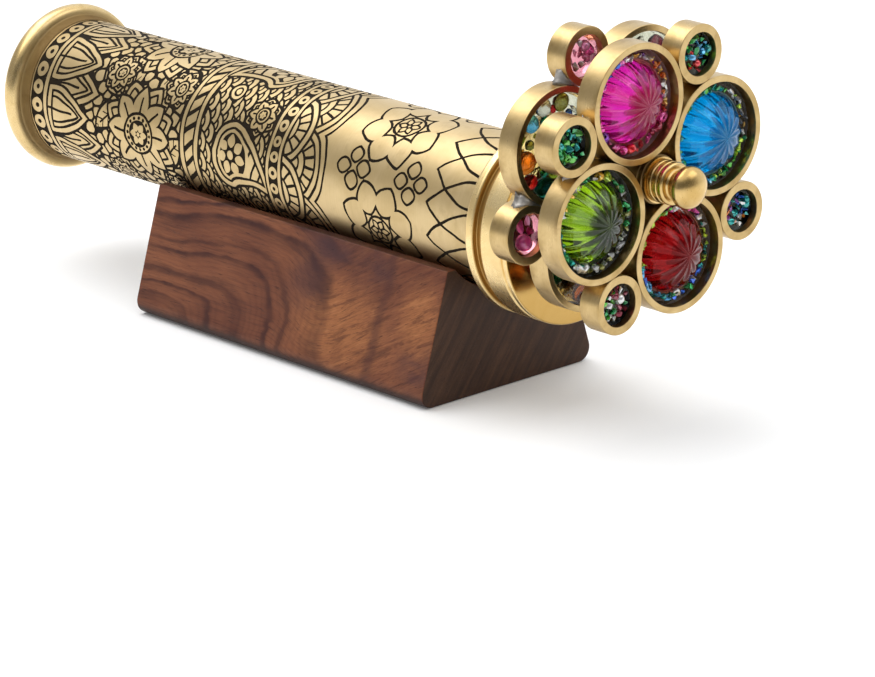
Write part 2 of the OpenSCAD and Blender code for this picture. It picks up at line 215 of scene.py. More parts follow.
def rosewood():
    """Figured rosewood: growth rings cut into flat arches at the left, light leaning cross-grain at the right, dark sawn ends."""
    m = Mat("rosewood")
    p = m.scaled(m.coords(), (1000.0, 1000.0, 1000.0))
    x, y, z = m.split(p)

    def patch(cx, cz, rx, rz):
        u, w = m.math("DIVIDE", m.math("SUBTRACT", x, cx), rx), m.math("DIVIDE", m.math("SUBTRACT", z, cz), rz)
        return m.spread(m.vmath("LENGTH", m.join(u, 0.0, w)), 1.15, 0.2)

    slow = m.noise(m.scaled(p, (0.6, 1.0, 1.0)), 0.035, 2.0, 0.5)
    quick = m.noise(m.scaled(p, (0.45, 1.0, 1.0)), 0.13, 3.0, 0.6)
    ragged = m.noise(m.scaled(p, (0.6, 1.0, 1.0)), 0.5, 3.0, 0.6)
    # distance from the heart of the figure, which lies low at one end; the far side is another cut through the log
    fx = m.math("ADD", x, m.spread(y, -6.0, 6.0, 54.0, 30.0))
    hx = m.math("ABSOLUTE", m.math("DIVIDE", fx, 2.6))
    hz = m.math("ABSOLUTE", m.math("ADD", m.math("SUBTRACT", z, m.math("MULTIPLY", fx, 0.12)), 1.0))
    d = m.math("POWER", m.math("ADD", m.math("POWER", hx, 3.5), m.math("POWER", hz, 3.5)), 1 / 3.5)
    for wave, size in ((slow, 7.0), (quick, 2.8), (ragged, 0.5)):
        d = m.math("ADD", d, m.math("MULTIPLY", m.math("SUBTRACT", wave, 0.5), size))
    wide = m.math("ADD", m.math("DIVIDE", d, 4.1), m.math("MULTIPLY", m.math("SINE", m.math("MULTIPLY", d, 0.62)), 0.22))
    f = m.math("FRACT", wide)
    ring = m.math("POWER", m.math("MULTIPLY", m.spread(f, 0.0, 0.50), m.spread(f, 0.74, 0.53)), 1.5)
    each = m.noise(m.join(m.math("FLOOR", wide), 3.7, 0.0), 1.7, 1.0)
    ring = m.math("MULTIPLY", m.math("MULTIPLY", ring, m.spread(each, 0.3, 0.7, 0.55, 1.0)), m.spread(m.noise(p, 0.10, 2.0), 0.32, 0.6, 0.55, 1.0))
    f3 = m.math("FRACT", m.math("DIVIDE", d, 0.95))
    thin = m.math("MULTIPLY", m.spread(f3, 0.25, 0.60), m.spread(f3, 0.95, 0.66))
    far = m.spread(x, -4.0, 24.0)
    # fibres, which lean towards the right end
    lean = m.math("MULTIPLY", far, 0.50)
    px = m.math("SUBTRACT", x, 30.0)
    across = m.math("SUBTRACT", m.math("MULTIPLY", z, m.math("COSINE", lean)), m.math("MULTIPLY", px, m.math("SINE", lean)))
    along = m.math("ADD", m.math("MULTIPLY", px, m.math("COSINE", lean)), m.math("MULTIPLY", z, m.math("SINE", lean)))
    grain = m.join(along, across, y)
    fibre = m.noise(m.scaled(grain, (0.055, 1.5, 0.9)), 1.0, 4.0, 0.62, 0.3)
    hair = m.noise(m.scaled(grain, (0.16, 4.6, 3.0)), 1.0, 3.0, 0.6)
    streak = m.noise(m.scaled(grain, (0.055, 0.66, 0.5)), 1.0, 4.0, 0.70, 0.5)
    pore = m.spread(m.noise(m.scaled(grain, (0.26, 4.2, 2.6)), 1.0, 2.0, 0.5), 0.615, 0.72)
    cloud = m.noise(m.scaled(p, (0.5, 1.0, 1.0)), 0.055, 3.0, 0.55)
    glow = m.math("MAXIMUM", patch(22.0, 13.0, 21.0, 13.0), patch(49.0, 20.0, 9.0, 11.0))
    colour = m.mix(m.spread(cloud, 0.34, 0.68), (0.158, 0.054, 0.030), (0.240, 0.088, 0.043))
    colour = m.mix(m.math("MULTIPLY", glow, m.spread(fibre, 0.30, 0.62, 0.45, 0.9)), colour, (0.400, 0.155, 0.058))
    colour = m.mix(m.math("MULTIPLY", m.math("MULTIPLY", m.spread(streak, 0.47, 0.34), far), m.spread(glow, 0.0, 1.0, 0.15, 0.55)), colour, (0.500, 0.205, 0.080))
    colour = m.mix(m.math("MULTIPLY", m.math("MULTIPLY", m.spread(streak, 0.50, 0.66), far), 0.58), colour, (0.080, 0.028, 0.018))
    fade = m.spread(x, 26.0, 7.0, 0.12, 1.0)
    colour = m.mix(m.math("MULTIPLY", m.math("MULTIPLY", ring, 0.95), fade), colour, (0.043, 0.016, 0.015))
    colour = m.mix(m.math("MULTIPLY", m.math("MULTIPLY", thin, 0.16), fade), colour, (0.050, 0.019, 0.016))
    colour = m.mix(m.math("MULTIPLY", m.spread(fibre, 0.46, 0.72), 0.46), colour, (0.070, 0.027, 0.021))
    colour = m.mix(m.math("MULTIPLY", m.spread(hair, 0.46, 0.74), 0.32), colour, (0.055, 0.022, 0.018))
    # a dark vein, and violet smoke in places
    vein = m.math("ADD", m.math("SUBTRACT", m.math("SUBTRACT", x, 33.5), m.math("MULTIPLY", z, 0.1)), m.math("MULTIPLY", m.math("SUBTRACT", quick, 0.5), 5.0))
    colour = m.mix(m.math("MULTIPLY", m.spread(m.math("ABSOLUTE", vein), 2.6, 0.3), 0.50), colour, (0.065, 0.026, 0.023))
    smoke = m.math("MAXIMUM", m.math("MAXIMUM", patch(28.0, 29.0, 11.0, 6.0), patch(51.0, 9.0, 8.0, 8.0)), m.math("MAXIMUM", patch(14.0, 31.0, 13.0, 7.0), m.math("MULTIPLY", patch(7.0, 22.0, 9.0, 10.0), 0.6)))
    colour = m.mix(m.math("MULTIPLY", smoke, m.spread(quick, 0.36, 0.62, 0.15, 0.75)), colour, (0.062, 0.030, 0.034))
    colour = m.mix(m.math("MULTIPLY", pore, 0.55), colour, (0.026, 0.011, 0.010))
    # painted shade: dark along the foot, and on the lands beside the groove under the tube
    nx, ny, nz = m.split(m.node("NewGeometry").outputs["True Normal"])
    painted_shade = m.math("MAXIMUM", m.math("MULTIPLY", m.spread(z, 3.6, 1.7), 0.85), m.math("MULTIPLY", m.math("MULTIPLY", m.spread(nz, 0.75, 0.97), m.spread(z, 32.9, 33.3)), 0.55))
    colour = m.mix(painted_shade, colour, (0.026, 0.011, 0.0075))
    # the sawn ends drink more oil, and are darker
    end = m.spread(m.math("ABSOLUTE", nx), 0.80, 0.99)
    lean_y = m.math("SUBTRACT", y, m.math("MULTIPLY", z, 0.72))
    saw = m.spread(m.noise(m.join(0.0, m.math("MULTIPLY", lean_y, 0.42), m.math("MULTIPLY", z, 0.05)), 1.0, 4.0, 0.60), 0.32, 0.72)
    speck = m.spread(m.noise(p, 2.2, 2.0), 0.56, 0.70)
    sawn = m.mix(m.math("MULTIPLY", saw, m.spread(cloud, 0.35, 0.65, 0.55, 1.0)), (0.046, 0.0245, 0.0165), (0.094, 0.047, 0.0275))
    sawn = m.mix(m.math("MULTIPLY", speck, 0.40), sawn, (0.026, 0.014, 0.010))
    colour = m.mix(end, colour, sawn)
    height = m.math("SUBTRACT", m.math("MULTIPLY", hair, 0.4), pore)
    rough = m.math("ADD", 0.42, m.math("MULTIPLY", pore, 0.20))
    rough = m.math("ADD", rough, m.math("MULTIPLY", m.math("SUBTRACT", fibre, 0.5), 0.18), True)
    m.set(Base_Color=colour, Roughness=rough, Normal=m.bump(height, 0.00006, 0.7), Specular_IOR_Level=0.14)
    return m.m


def blackened():
    m = Mat("etch_black")
    p = m.coords()
    grit = m.noise(p, 2600.0, 3.0, 0.6)
    cloud = m.noise(p, 120.0, 3.0)
    colour = m.mix(m.spread(grit, 0.35, 0.72), (0.0075, 0.0048, 0.0020), (0.024, 0.0155, 0.0065))
    colour = m.mix(m.math("MULTIPLY", m.spread(cloud, 0.58, 0.78), 0.35), colour, (0.060, 0.036, 0.014))
    m.set(Base_Color=colour, Roughness=m.spread(grit, 0.2, 0.8, 0.60, 0.90), Normal=m.bump(grit, 0.00003), Specular_IOR_Level=0.12)
    return m.m


def dome_glass(name, rim, crown, edge, core, reach, clear, shine):
    """Pressed glass, deep in the valleys, with a painted shade tint round the crown and a painted highlight along the
    scuffed ridges there.
    """
    m = Mat(name)
    p = m.coords()
    x, y, z = m.split(p)
    r = m.vmath("LENGTH", m.join(0.0, y, z))
    ridge = m.math("COSINE", m.math("MULTIPLY", m.math("ARCTAN2", z, y), 14.0))
    swirl = m.noise(p, 200.0, 3.0, 0.55, 0.8)
    scuff = m.noise(p, 2400.0, 3.0, 0.6)
    top = m.spread(r, 0.0036, 0.0002)
    crest = m.spread(ridge, 0.86, 0.995)
    painted_highlight_and_scuff = m.math("MAXIMUM", m.math("MULTIPLY", m.spread(r, 0.0100, 0.0012, 0.25, 0.9), crest), m.math("MULTIPLY", top, 0.3))
    colour = m.mix(m.spread(swirl, 0.35, 0.7), rim, edge)
    # painted shade: the core colour laid over the crown out to reach
    colour = m.mix(m.spread(r, reach, 0.4 * reach), colour, core)
    # painted highlight: the pale crown colour along the ridges near the crown and on the apex, where the glass is also
    # rougher
    colour = m.mix(painted_highlight_and_scuff, colour, crown)
    rough = m.math("ADD", m.math("MULTIPLY", painted_highlight_and_scuff, m.spread(scuff, 0.2, 0.9, 0.02, 0.11)), m.spread(swirl, 0.3, 0.8, 0.01, 0.04), True)
    m.set(Base_Color=colour, Roughness=rough, Transmission_Weight=clear, IOR=1.5, Specular_Tint=shine, Normal=m.bump(scuff, 0.000003))
    return m.m


def resin(name, tint, tint2, ior=1.47, wave=0.00012, clear=1.0, gutter=None):
    m = Mat(name)
    p = m.coords()
    swirl = m.noise(p, 170.0, 3.0, 0.5, 1.2)
    colour = m.mix(m.spread(swirl, 0.3, 0.72), tint, tint2)
    if gutter:                                             # under the dome one colour, round it a darker one, as painted shade in the gutter
        x, y, z = m.split(p)
        colour = m.mix(m.spread(m.vmath("LENGTH", m.join(0.0, y, z)), 0.0097, 0.0106), colour, gutter)
    m.set(Base_Color=colour, Roughness=m.spread(swirl, 0.3, 0.8, 0.0, 0.05), Transmission_Weight=clear, IOR=ior, Normal=m.bump(swirl, wave))
    return m.m


def bead_glass(name, clear, ior, foil):
    """Coloured glass chips; those with foil flash like dichroic glass."""
    m = Mat(name)
    a = m.node("Attribute", attribute_name="bead_colour")
    p = m.coords()
    streak = m.noise(p, 900.0, 2.0)
    colour = m.mix(m.spread(streak, 0.4, 0.75, 0.0, 0.35), a.outputs["Color"], m.mix(0.5, a.outputs["Color"], (0.95, 0.95, 0.95)))
    m.set(Base_Color=colour, Roughness=m.spread(streak, 0.3, 0.8, 0.03, 0.12), Transmission_Weight=clear, IOR=ior, Metallic=foil)
    return m.m


def solder_metal():
    m = Mat("solder_grey")
    p = m.coords()
    lump = m.noise(p, 900.0, 3.0, 0.6)
    cloud = m.noise(p, 260.0, 3.0)
    colour = m.mix(m.spread(cloud, 0.38, 0.66), (0.26, 0.245, 0.225), (0.48, 0.455, 0.42))
    m.set(Base_Color=colour, Metallic=1.0, Roughness=m.spread(lump, 0.25, 0.8, 0.34, 0.62), Normal=m.bump(lump, 0.00010))
    return m.m


def mirror_silver():
    m = Mat("mirror_silver")
    p = m.coords()
    haze = m.noise(p, 300.0, 3.0)
    m.set(Base_Color=m.mix(m.spread(haze, 0.4, 0.7), (0.86, 0.88, 0.90), (0.78, 0.80, 0.84)), Metallic=1.0, Roughness=m.spread(haze, 0.3, 0.8, 0.02, 0.07))
    return m.m


def mask_card():
    m = Mat("mask_card")
    p = m.coords()
    fibre = m.noise(p, 1400.0, 4.0, 0.65)
    m.set(Base_Color=m.mix(m.spread(fibre, 0.3, 0.75), (0.012, 0.012, 0.012), (0.035, 0.033, 0.031)), Roughness=m.spread(fibre, 0.3, 0.7, 0.7, 0.95), Normal=m.bump(fibre, 0.00004))
    return m.m


def window_glass():
    m = Mat("window_glass")
    p = m.coords()
    haze = m.noise(p, 400.0, 3.0)
    m.set(Base_Color=m.mix(m.spread(haze, 0.3, 0.7), (0.97, 0.99, 0.98), (0.92, 0.96, 0.95)), Roughness=m.spread(haze, 0.4, 0.8, 0.0, 0.03), Transmission_Weight=1.0, IOR=1.5)
    return m.m


M_TUBE = brass("tube_brass", (0.66, 0.50, 0.265), (0.50, 0.358, 0.158), 0.34, 0.03, 1900.0, 0.10, 0.00001, 0.16, (0.20, 0.10, 0.03), 70.0, 0.6, drawn=0.8)
M_ETCH = blackened()
M_TURNED = brass("turned_gold", (0.70, 0.50, 0.22), (0.56, 0.37, 0.13), 0.25, 0.05, 1500.0, 0.06, 0.000006)
# painted shade: dark, dull, non-metallic brown over the cove and sleeve behind the lip
M_LIP = brass("lip_gold", (0.75, 0.565, 0.285), (0.61, 0.44, 0.195), 0.27, 0.05, 1500.0, 0.10, 0.00001, 0.08, shade_and_polish_bands=((0.0046, 0.0058, 1.0, 2.0, (0.105, 0.052, 0.008), 0.97, 0.9),))
# painted shade: darker brass in the groove behind the rear bead; the second band is the polished front face in its own
# darker tone
M_CAP = brass("cap_brass", (0.93, 0.72, 0.37), (0.80, 0.585, 0.265), 0.28, 0.06, 2200.0, 0.09, 0.000008, shade_and_polish_bands=((0.0026, 0.0029, 0.0052, 0.0060, (0.34, 0.18, 0.033), 0.9, 0.15), (0.01450, 0.01465, 1.0, 2.0, (0.44, 0.25, 0.052), 0.95, -0.7)), drawn=0.7)
M_RING = brass("ring_brass", (0.60, 0.44, 0.21), (0.45, 0.31, 0.125), 0.31, 0.08, 2600.0, 0.18, 0.000016, 0.28)
M_HUB = brass("hub_brass", (0.30, 0.20, 0.085), (0.16, 0.10, 0.04), 0.36, 0.08, 2600.0, 0.12, 0.000012, 0.5)
M_WOOD = rosewood()
M_RESIN = resin("clear_resin", (0.60, 0.61, 0.49), (0.36, 0.38, 0.28), 1.47, 0.0003)
# nearly black resin: painted shade in the deep small cells of the front wheel
M_SHADE_RESIN = resin("painted_shade_resin", (0.055, 0.053, 0.043), (0.024, 0.027, 0.024), 1.18, 0.0003)
# the last colour of each is painted shade in the gutter round the dome; the green floor's own dark grey is painted
# shade under that dome too
M_FLOOR = {
    "pink": resin("pink_floor", (0.95, 0.24, 0.26), (0.70, 0.14, 0.16), 1.18, 0.0003, 0.5, (0.22, 0.10, 0.10)),
    "blue": resin("blue_floor", (0.29, 0.58, 0.63), (0.18, 0.40, 0.47), 1.18, 0.0003, 0.5, (0.08, 0.066, 0.052)),
    "red": resin("red_floor", (0.80, 0.20, 0.16), (0.55, 0.12, 0.10), 1.18, 0.0003, 0.5, (0.12, 0.085, 0.058)),
    "green": resin("green_floor", (0.17, 0.18, 0.16), (0.09, 0.10, 0.09), 1.18, 0.0003, 0.6, (0.06, 0.06, 0.048)),
}
M_RESIN_PINK = resin("pink_resin", (0.64, 0.22, 0.29), (0.74, 0.38, 0.43))
M_BEAD = bead_glass("bead_glass", 0.85, 1.14, 0.0)
M_SPARK = bead_glass("dichroic_glass", 0.5, 1.6, 0.42)
M_GLINT = bead_glass("bright_glass", 0.6, 1.5, 0.12)
M_SOLDER = solder_metal()
M_MIRROR = mirror_silver()
M_MASK = mask_card()
M_WINDOW = window_glass()
M_DOME = {
    # the second colour of each is the painted highlight along the ridges near the crown; the fourth is painted shade
    # laid on the crown
    "pink": dome_glass("dome_pink", (0.78, 0.020, 0.50), (0.97, 0.38, 0.47), (0.66, 0.014, 0.28), (0.62, 0.018, 0.11), 0.0070, 0.84, (1.0, 0.55, 0.78)),
    "blue": dome_glass("dome_blue", (0.001, 0.33, 0.78), (0.20, 0.76, 0.98), (0.001, 0.25, 0.67), (0.001, 0.27, 0.68), 0.0060, 0.84, (0.45, 0.80, 1.0)),
    "red": dome_glass("dome_red", (0.28, 0.002, 0.003), (0.64, 0.06, 0.065), (0.19, 0.001, 0.002), (0.21, 0.002, 0.004), 0.0060, 0.84, (1.0, 0.30, 0.30)),
    "green": dome_glass("dome_green", (0.34, 0.60, 0.008), (0.36, 0.41, 0.34), (0.20, 0.42, 0.006), (0.020, 0.028, 0.018), 0.0084, 0.95, (0.90, 1.0, 0.85)),
}


# ---------------------------------------------------------------- mesh helpers
def make(name, verts, faces, mats, body, nodes=(), index=None, normals=None, loop_normals=None, origin=(0.0, 0.0, 0.0), smooth=True):
    """A piece from points in mm, relative to origin. normals are one per point, loop_normals one per corner."""
    me = bpy.data.meshes.new(name)
    me.from_pydata((np.asarray(verts, float) * MM).tolist(), [], faces if isinstance(faces, list) else faces.tolist())
    for m in mats if isinstance(mats, (list, tuple)) else [mats]:
        me.materials.append(m)
    if index is not None:
        me.polygons.foreach_set("material_index", np.asarray(index, np.int32))
    me.polygons.foreach_set("use_smooth", np.full(len(me.polygons), bool(smooth)))
    if normals is not None:
        me.normals_split_custom_set_from_vertices(np.asarray(normals, float).tolist())
    elif loop_normals is not None:
        me.normals_split_custom_set(np.asarray(loop_normals, float).tolist())
    me.update()
    ob = bpy.data.objects.new(name, me)
    bpy.context.scene.collection.objects.link(ob)
    ob.location = Vector(origin) * MM
    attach(ob, body)
    if nodes:
        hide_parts(*([nodes] if isinstance(nodes, str) else nodes))
    return ob


def rounded(points, closed=True, per_quarter=5):
    """Corners (x, r, fillet), or curve points (x, r, None, nx, nr) with their own normal, as a profile of (x, r, nx, nr)."""
    n = len(points)
    area = sum(points[i][0] * points[(i + 1) % n][1] - points[(i + 1) % n][0] * points[i][1] for i in range(n))
    side = 1.0 if area > 0 else -1.0
    out = []
    for i, p in enumerate(points):
        if len(p) == 5:
            out.append((p[0], p[1], p[3], p[4]))
            continue
        p1 = np.array(p[:2], float)
        d1 = p1 - np.array(points[i - 1][:2], float)
        d2 = np.array(points[(i + 1) % n][:2], float) - p1
        l1, l2 = np.hypot(*d1), np.hypot(*d2)
        d1, d2 = d1 / l1, d2 / l2
        n1, n2 = side * np.array((d1[1], -d1[0])), side * np.array((d2[1], -d2[0]))
        if not closed and i == 0:
            out.append((*p1, *n2))
            continue
        if not closed and i == n - 1:
            out.append((*p1, *n1))
            continue
        turn = math.atan2(d1[0] * d2[1] - d1[1] * d2[0], float(d1 @ d2))
        if abs(turn) < 1e-4:
            out.append((*p1, *n1))
            continue
        t = min(max(p[2], 0.02) * math.tan(abs(turn) / 2), 0.495 * min(l1, l2))
        rad = t / math.tan(abs(turn) / 2)
        convex = 1.0 if turn * side > 0 else -1.0
        centre = p1 - d1 * t - convex * n1 * rad
        k = max(2, math.ceil(abs(turn) / (math.pi / 2) * per_quarter))
        for j in range(k + 1):
            a = turn * j / k
            q = np.array((n1[0] * math.cos(a) - n1[1] * math.sin(a), n1[0] * math.sin(a) + n1[1] * math.cos(a)))
            out.append((*(centre + convex * q * rad), *q))
    return out


def spun(prof, seg, closed=True):
    """Points, faces and normals of a profile spun round the X axis. Profile ends on the axis close with a point."""
    prof = np.asarray(prof, float)
    a = np.linspace(0, 2 * math.pi, seg, endpoint=False)
    ca, sa = np.cos(a), np.sin(a)
    verts, normals, rows = [], [], []
    for x, r, nx, nr in prof:
        start = len(verts)
        if r < 1e-6:
            verts.append((x, 0.0, 0.0))
            normals.append((1.0 if nx >= 0 else -1.0, 0.0, 0.0))
            rows.append((start, True))
        else:
            verts.extend(zip(np.full(seg, x), r * ca, r * sa))
            normals.extend(zip(np.full(seg, nx), nr * ca, nr * sa))
            rows.append((start, False))
    faces = []
    m = len(rows)
    for i in range(m if closed else m - 1):
        (s0, p0), (s1, p1) = rows[i], rows[(i + 1) % m]
        if p0 and p1:
            continue
        for j in range(seg):
            k = (j + 1) % seg
            if p0:
                faces.append((s0, s1 + k, s1 + j))
            elif p1:
                faces.append((s0 + j, s0 + k, s1))
            else:
                faces.append((s0 + j, s0 + k, s1 + k, s1 + j))
    verts, normals = np.array(verts), np.array(normals)
    # faces look the way of the normals
    f = faces[len(faces) // 2]
    q = np.cross(verts[f[1]] - verts[f[0]], verts[f[2]] - verts[f[0]])
    if q @ normals[list(f)].sum(0) < 0:
        faces = [g[::-1] for g in faces]
    return verts, faces, normals


def turned_piece(name, points, origin, mat, body, node, seg=128, closed=True, per_quarter=5):
    v, f, n = spun(rounded(points, closed, per_quarter), seg, closed)
    return make(name, v, f, mat, body, node, normals=n, origin=origin)


# ---------------------------------------------------------------- ornament
PITCH = 0.1                      # mm, raster used to place the etched outlines
GIRTH = 2 * math.pi * 19.0       # mm round the tube
NU, NV = 1758, 1194              # along the tube from the eyepiece, and round it
ETCH_BACK = -110.6               # where it starts
DU, DV = PITCH, GIRTH / NV


def tile(hu, hv):
    ku, kv = int(round(hu / DU)), int(round(hv / DV))
    return np.meshgrid((np.arange(-ku, ku + 1) * DU).astype(np.float32), (np.arange(-kv, kv + 1) * DV).astype(np.float32), indexing="ij")


def outline_distance(X, Y, pts):
    """Distance to a closed outline, negative inside it."""
    best = np.full(X.shape, 1e9, np.float32)
    inside = np.zeros(X.shape, bool)
    for (ax, ay), (bx, by) in zip(pts, np.roll(pts, -1, 0)):
        ex, ey = float(bx - ax), float(by - ay)
        wx, wy = X - np.float32(ax), Y - np.float32(ay)
        t = np.clip((wx * np.float32(ex) + wy * np.float32(ey)) / np.float32(ex * ex + ey * ey + 1e-12), 0, 1)
        best = np.minimum(best, (wx - np.float32(ex) * t) ** 2 + (wy - np.float32(ey) * t) ** 2)
        if abs(ey) > 1e-12:
            inside ^= ((ay <= Y) != (by <= Y)) & (wx < np.float32(ex / ey) * wy)
    best = np.sqrt(best)
    return np.where(inside, -best, best)


def petal(length, width, swell=0.8, tip=1.0, start=0.0, n=22):
    """Outline of a pointed petal from (start, 0) outwards along +X."""
    t = np.linspace(0, 1, n)
    w = width * np.sin(np.pi * t ** swell) ** tip
    up = np.c_[start + length * t, w]
    return np.r_[up, up[-2:0:-1] * (1, -1)]


def fold(X, Y, n, turn=0.0):
    """The same place in one of n equal sectors, centred on +X."""
    r, a = np.hypot(X, Y), np.arctan2(Y, X) - np.float32(turn)
    a = (a + math.pi / n) % (2 * math.pi / n) - math.pi / n
    return r * np.cos(a), r * np.sin(a)


def over(back, d, s, gap):
    """Lays a figure with outline distance d and metal s over what is there, with a dark gap round it."""
    return np.maximum(np.minimum(back, d - gap), s)


def rosette(radius, n, line=0.78):
    X, Y = tile(radius + 1.5, radius + 1.5)
    F = np.full(X.shape, -5.0, np.float32)
    D = np.full(X.shape, 50.0, np.float32)
    fat = 8 / n * radius
    for back, r0, r1, w, turn in ((True, 0.40, 1.0, 0.24, math.pi / n), (False, 0.26, 0.86, 0.205, 0.0)):
        x, y = fold(X, Y, n, turn)
        d = outline_distance(x, y, petal(radius * (r1 - r0), fat * w, 0.82, 0.8, radius * r0))
        if back:
            cut = np.abs(outline_distance(x, y, petal(radius * (r1 - r0) * 0.62, fat * w * 0.5, 0.85, 0.9, radius * (r0 + 0.1)))) - line * 0.45
        else:
            cut = np.maximum(np.abs(y) - line * 0.45, x - radius * (r1 - 0.17))
        F = over(F, d, np.minimum(-d, cut), line)
        D = np.minimum(D, d)
    r = np.hypot(X, Y)
    x, y = fold(X, Y, 2 * n)
    core = np.minimum(radius * 0.36 - r, np.abs(r - radius * 0.235) - line * 0.45)
    if radius > 8:
        core = np.minimum(core, np.hypot(x - radius * 0.305, y) - radius * 0.036)
    core = np.minimum(core, r - radius * 0.222)
    x, y = fold(X, Y, 6)
    bud = outline_distance(x, y, petal(radius * 0.17, radius * 0.068, 0.9, 0.9, radius * 0.05))
    core = np.maximum(core, np.maximum(-bud, radius * 0.04 - r))
    F = over(F, r - radius * 0.36, core, line)
    return np.minimum(D, r - radius * 0.36), F


def boteh(length, width, line=0.75):
    """A curled drop shape with bands that follow its edge and a small flower in its bowl."""
    X, Y = tile(length * 0.62 + 1, length * 0.62 + 1)
    t = np.linspace(0, 1, 40)
    cx = -length * 0.30 + length * 0.80 * t - length * 0.16 * np.clip(t - 0.62, 0, 1) ** 1.5
    cy = length * (-0.07 + 0.06 * t + 0.55 * np.clip(t - 0.35, 0, 1) ** 1.8)
    w = width * np.where(t < 0.3, np.sqrt(np.clip(1 - (1 - t / 0.3) ** 2, 0, 1)), 1 - (np.clip(t - 0.3, 0, 1) / 0.7) ** 1.15)
    tx, ty = np.gradient(cx), np.gradient(cy)
    q = np.hypot(tx, ty)
    w = np.maximum(w, 0.02)
    left, right = np.c_[cx - ty / q * w, cy + tx / q * w], np.c_[cx + ty / q * w, cy - tx / q * w]
    d = outline_distance(X, Y, np.r_[left, right[::-1]])
    bx, by = cx[12], cy[12]
    r = np.hypot(X - bx, Y - by)
    s = np.minimum(-d, np.abs(-d - 1.65) - line * 0.5)
    bowl = width * 0.66
    # bars across the tail, a dark bowl, and the flower in it
    along = (X - bx) * 0.9 + (Y - by) * 0.45
    bars = np.maximum(np.abs((along + 50) % 3.0 - 1.5) - line * 0.48, np.maximum(1.9 + d, bowl + 1.0 - r))
    s = np.minimum(np.minimum(s, bars), np.maximum(r - bowl, 2.9 + d))
    x, y = fold(X - bx, Y - by, 7, 0.2)
    f = outline_distance(x, y, petal(width * 0.42, width * 0.15, 0.85, 0.85, width * 0.2))
    return d, np.maximum(s, np.maximum(-f, width * 0.12 - r))


def leaf(length, width, angle, line=0.62):
    X, Y = tile(length * 0.62 + 0.8, length * 0.62 + 0.8)
    c, q = math.cos(angle), math.sin(angle)
    x, y = c * X + q * Y + length / 2, -q * X + c * Y
    d = outline_distance(x, y, petal(length, width, 0.78, 0.95))
    rib = np.maximum(np.abs(y) - line * 0.45, x - length * 0.8)
    veins = np.maximum(np.abs((x - np.abs(y) * 0.9 + 40) % 2.7 - 1.35) - line * 0.4, np.abs(y) - width * 0.62)
    return d, np.minimum(np.minimum(-d, rib), veins)


def ring_dot(radius, line=0.65):
    X, Y = tile(radius + 0.8, radius + 0.8)
    r = np.hypot(X, Y)
    return r - radius, np.minimum(radius - r, np.abs(r - radius * 0.52) - line * 0.45)


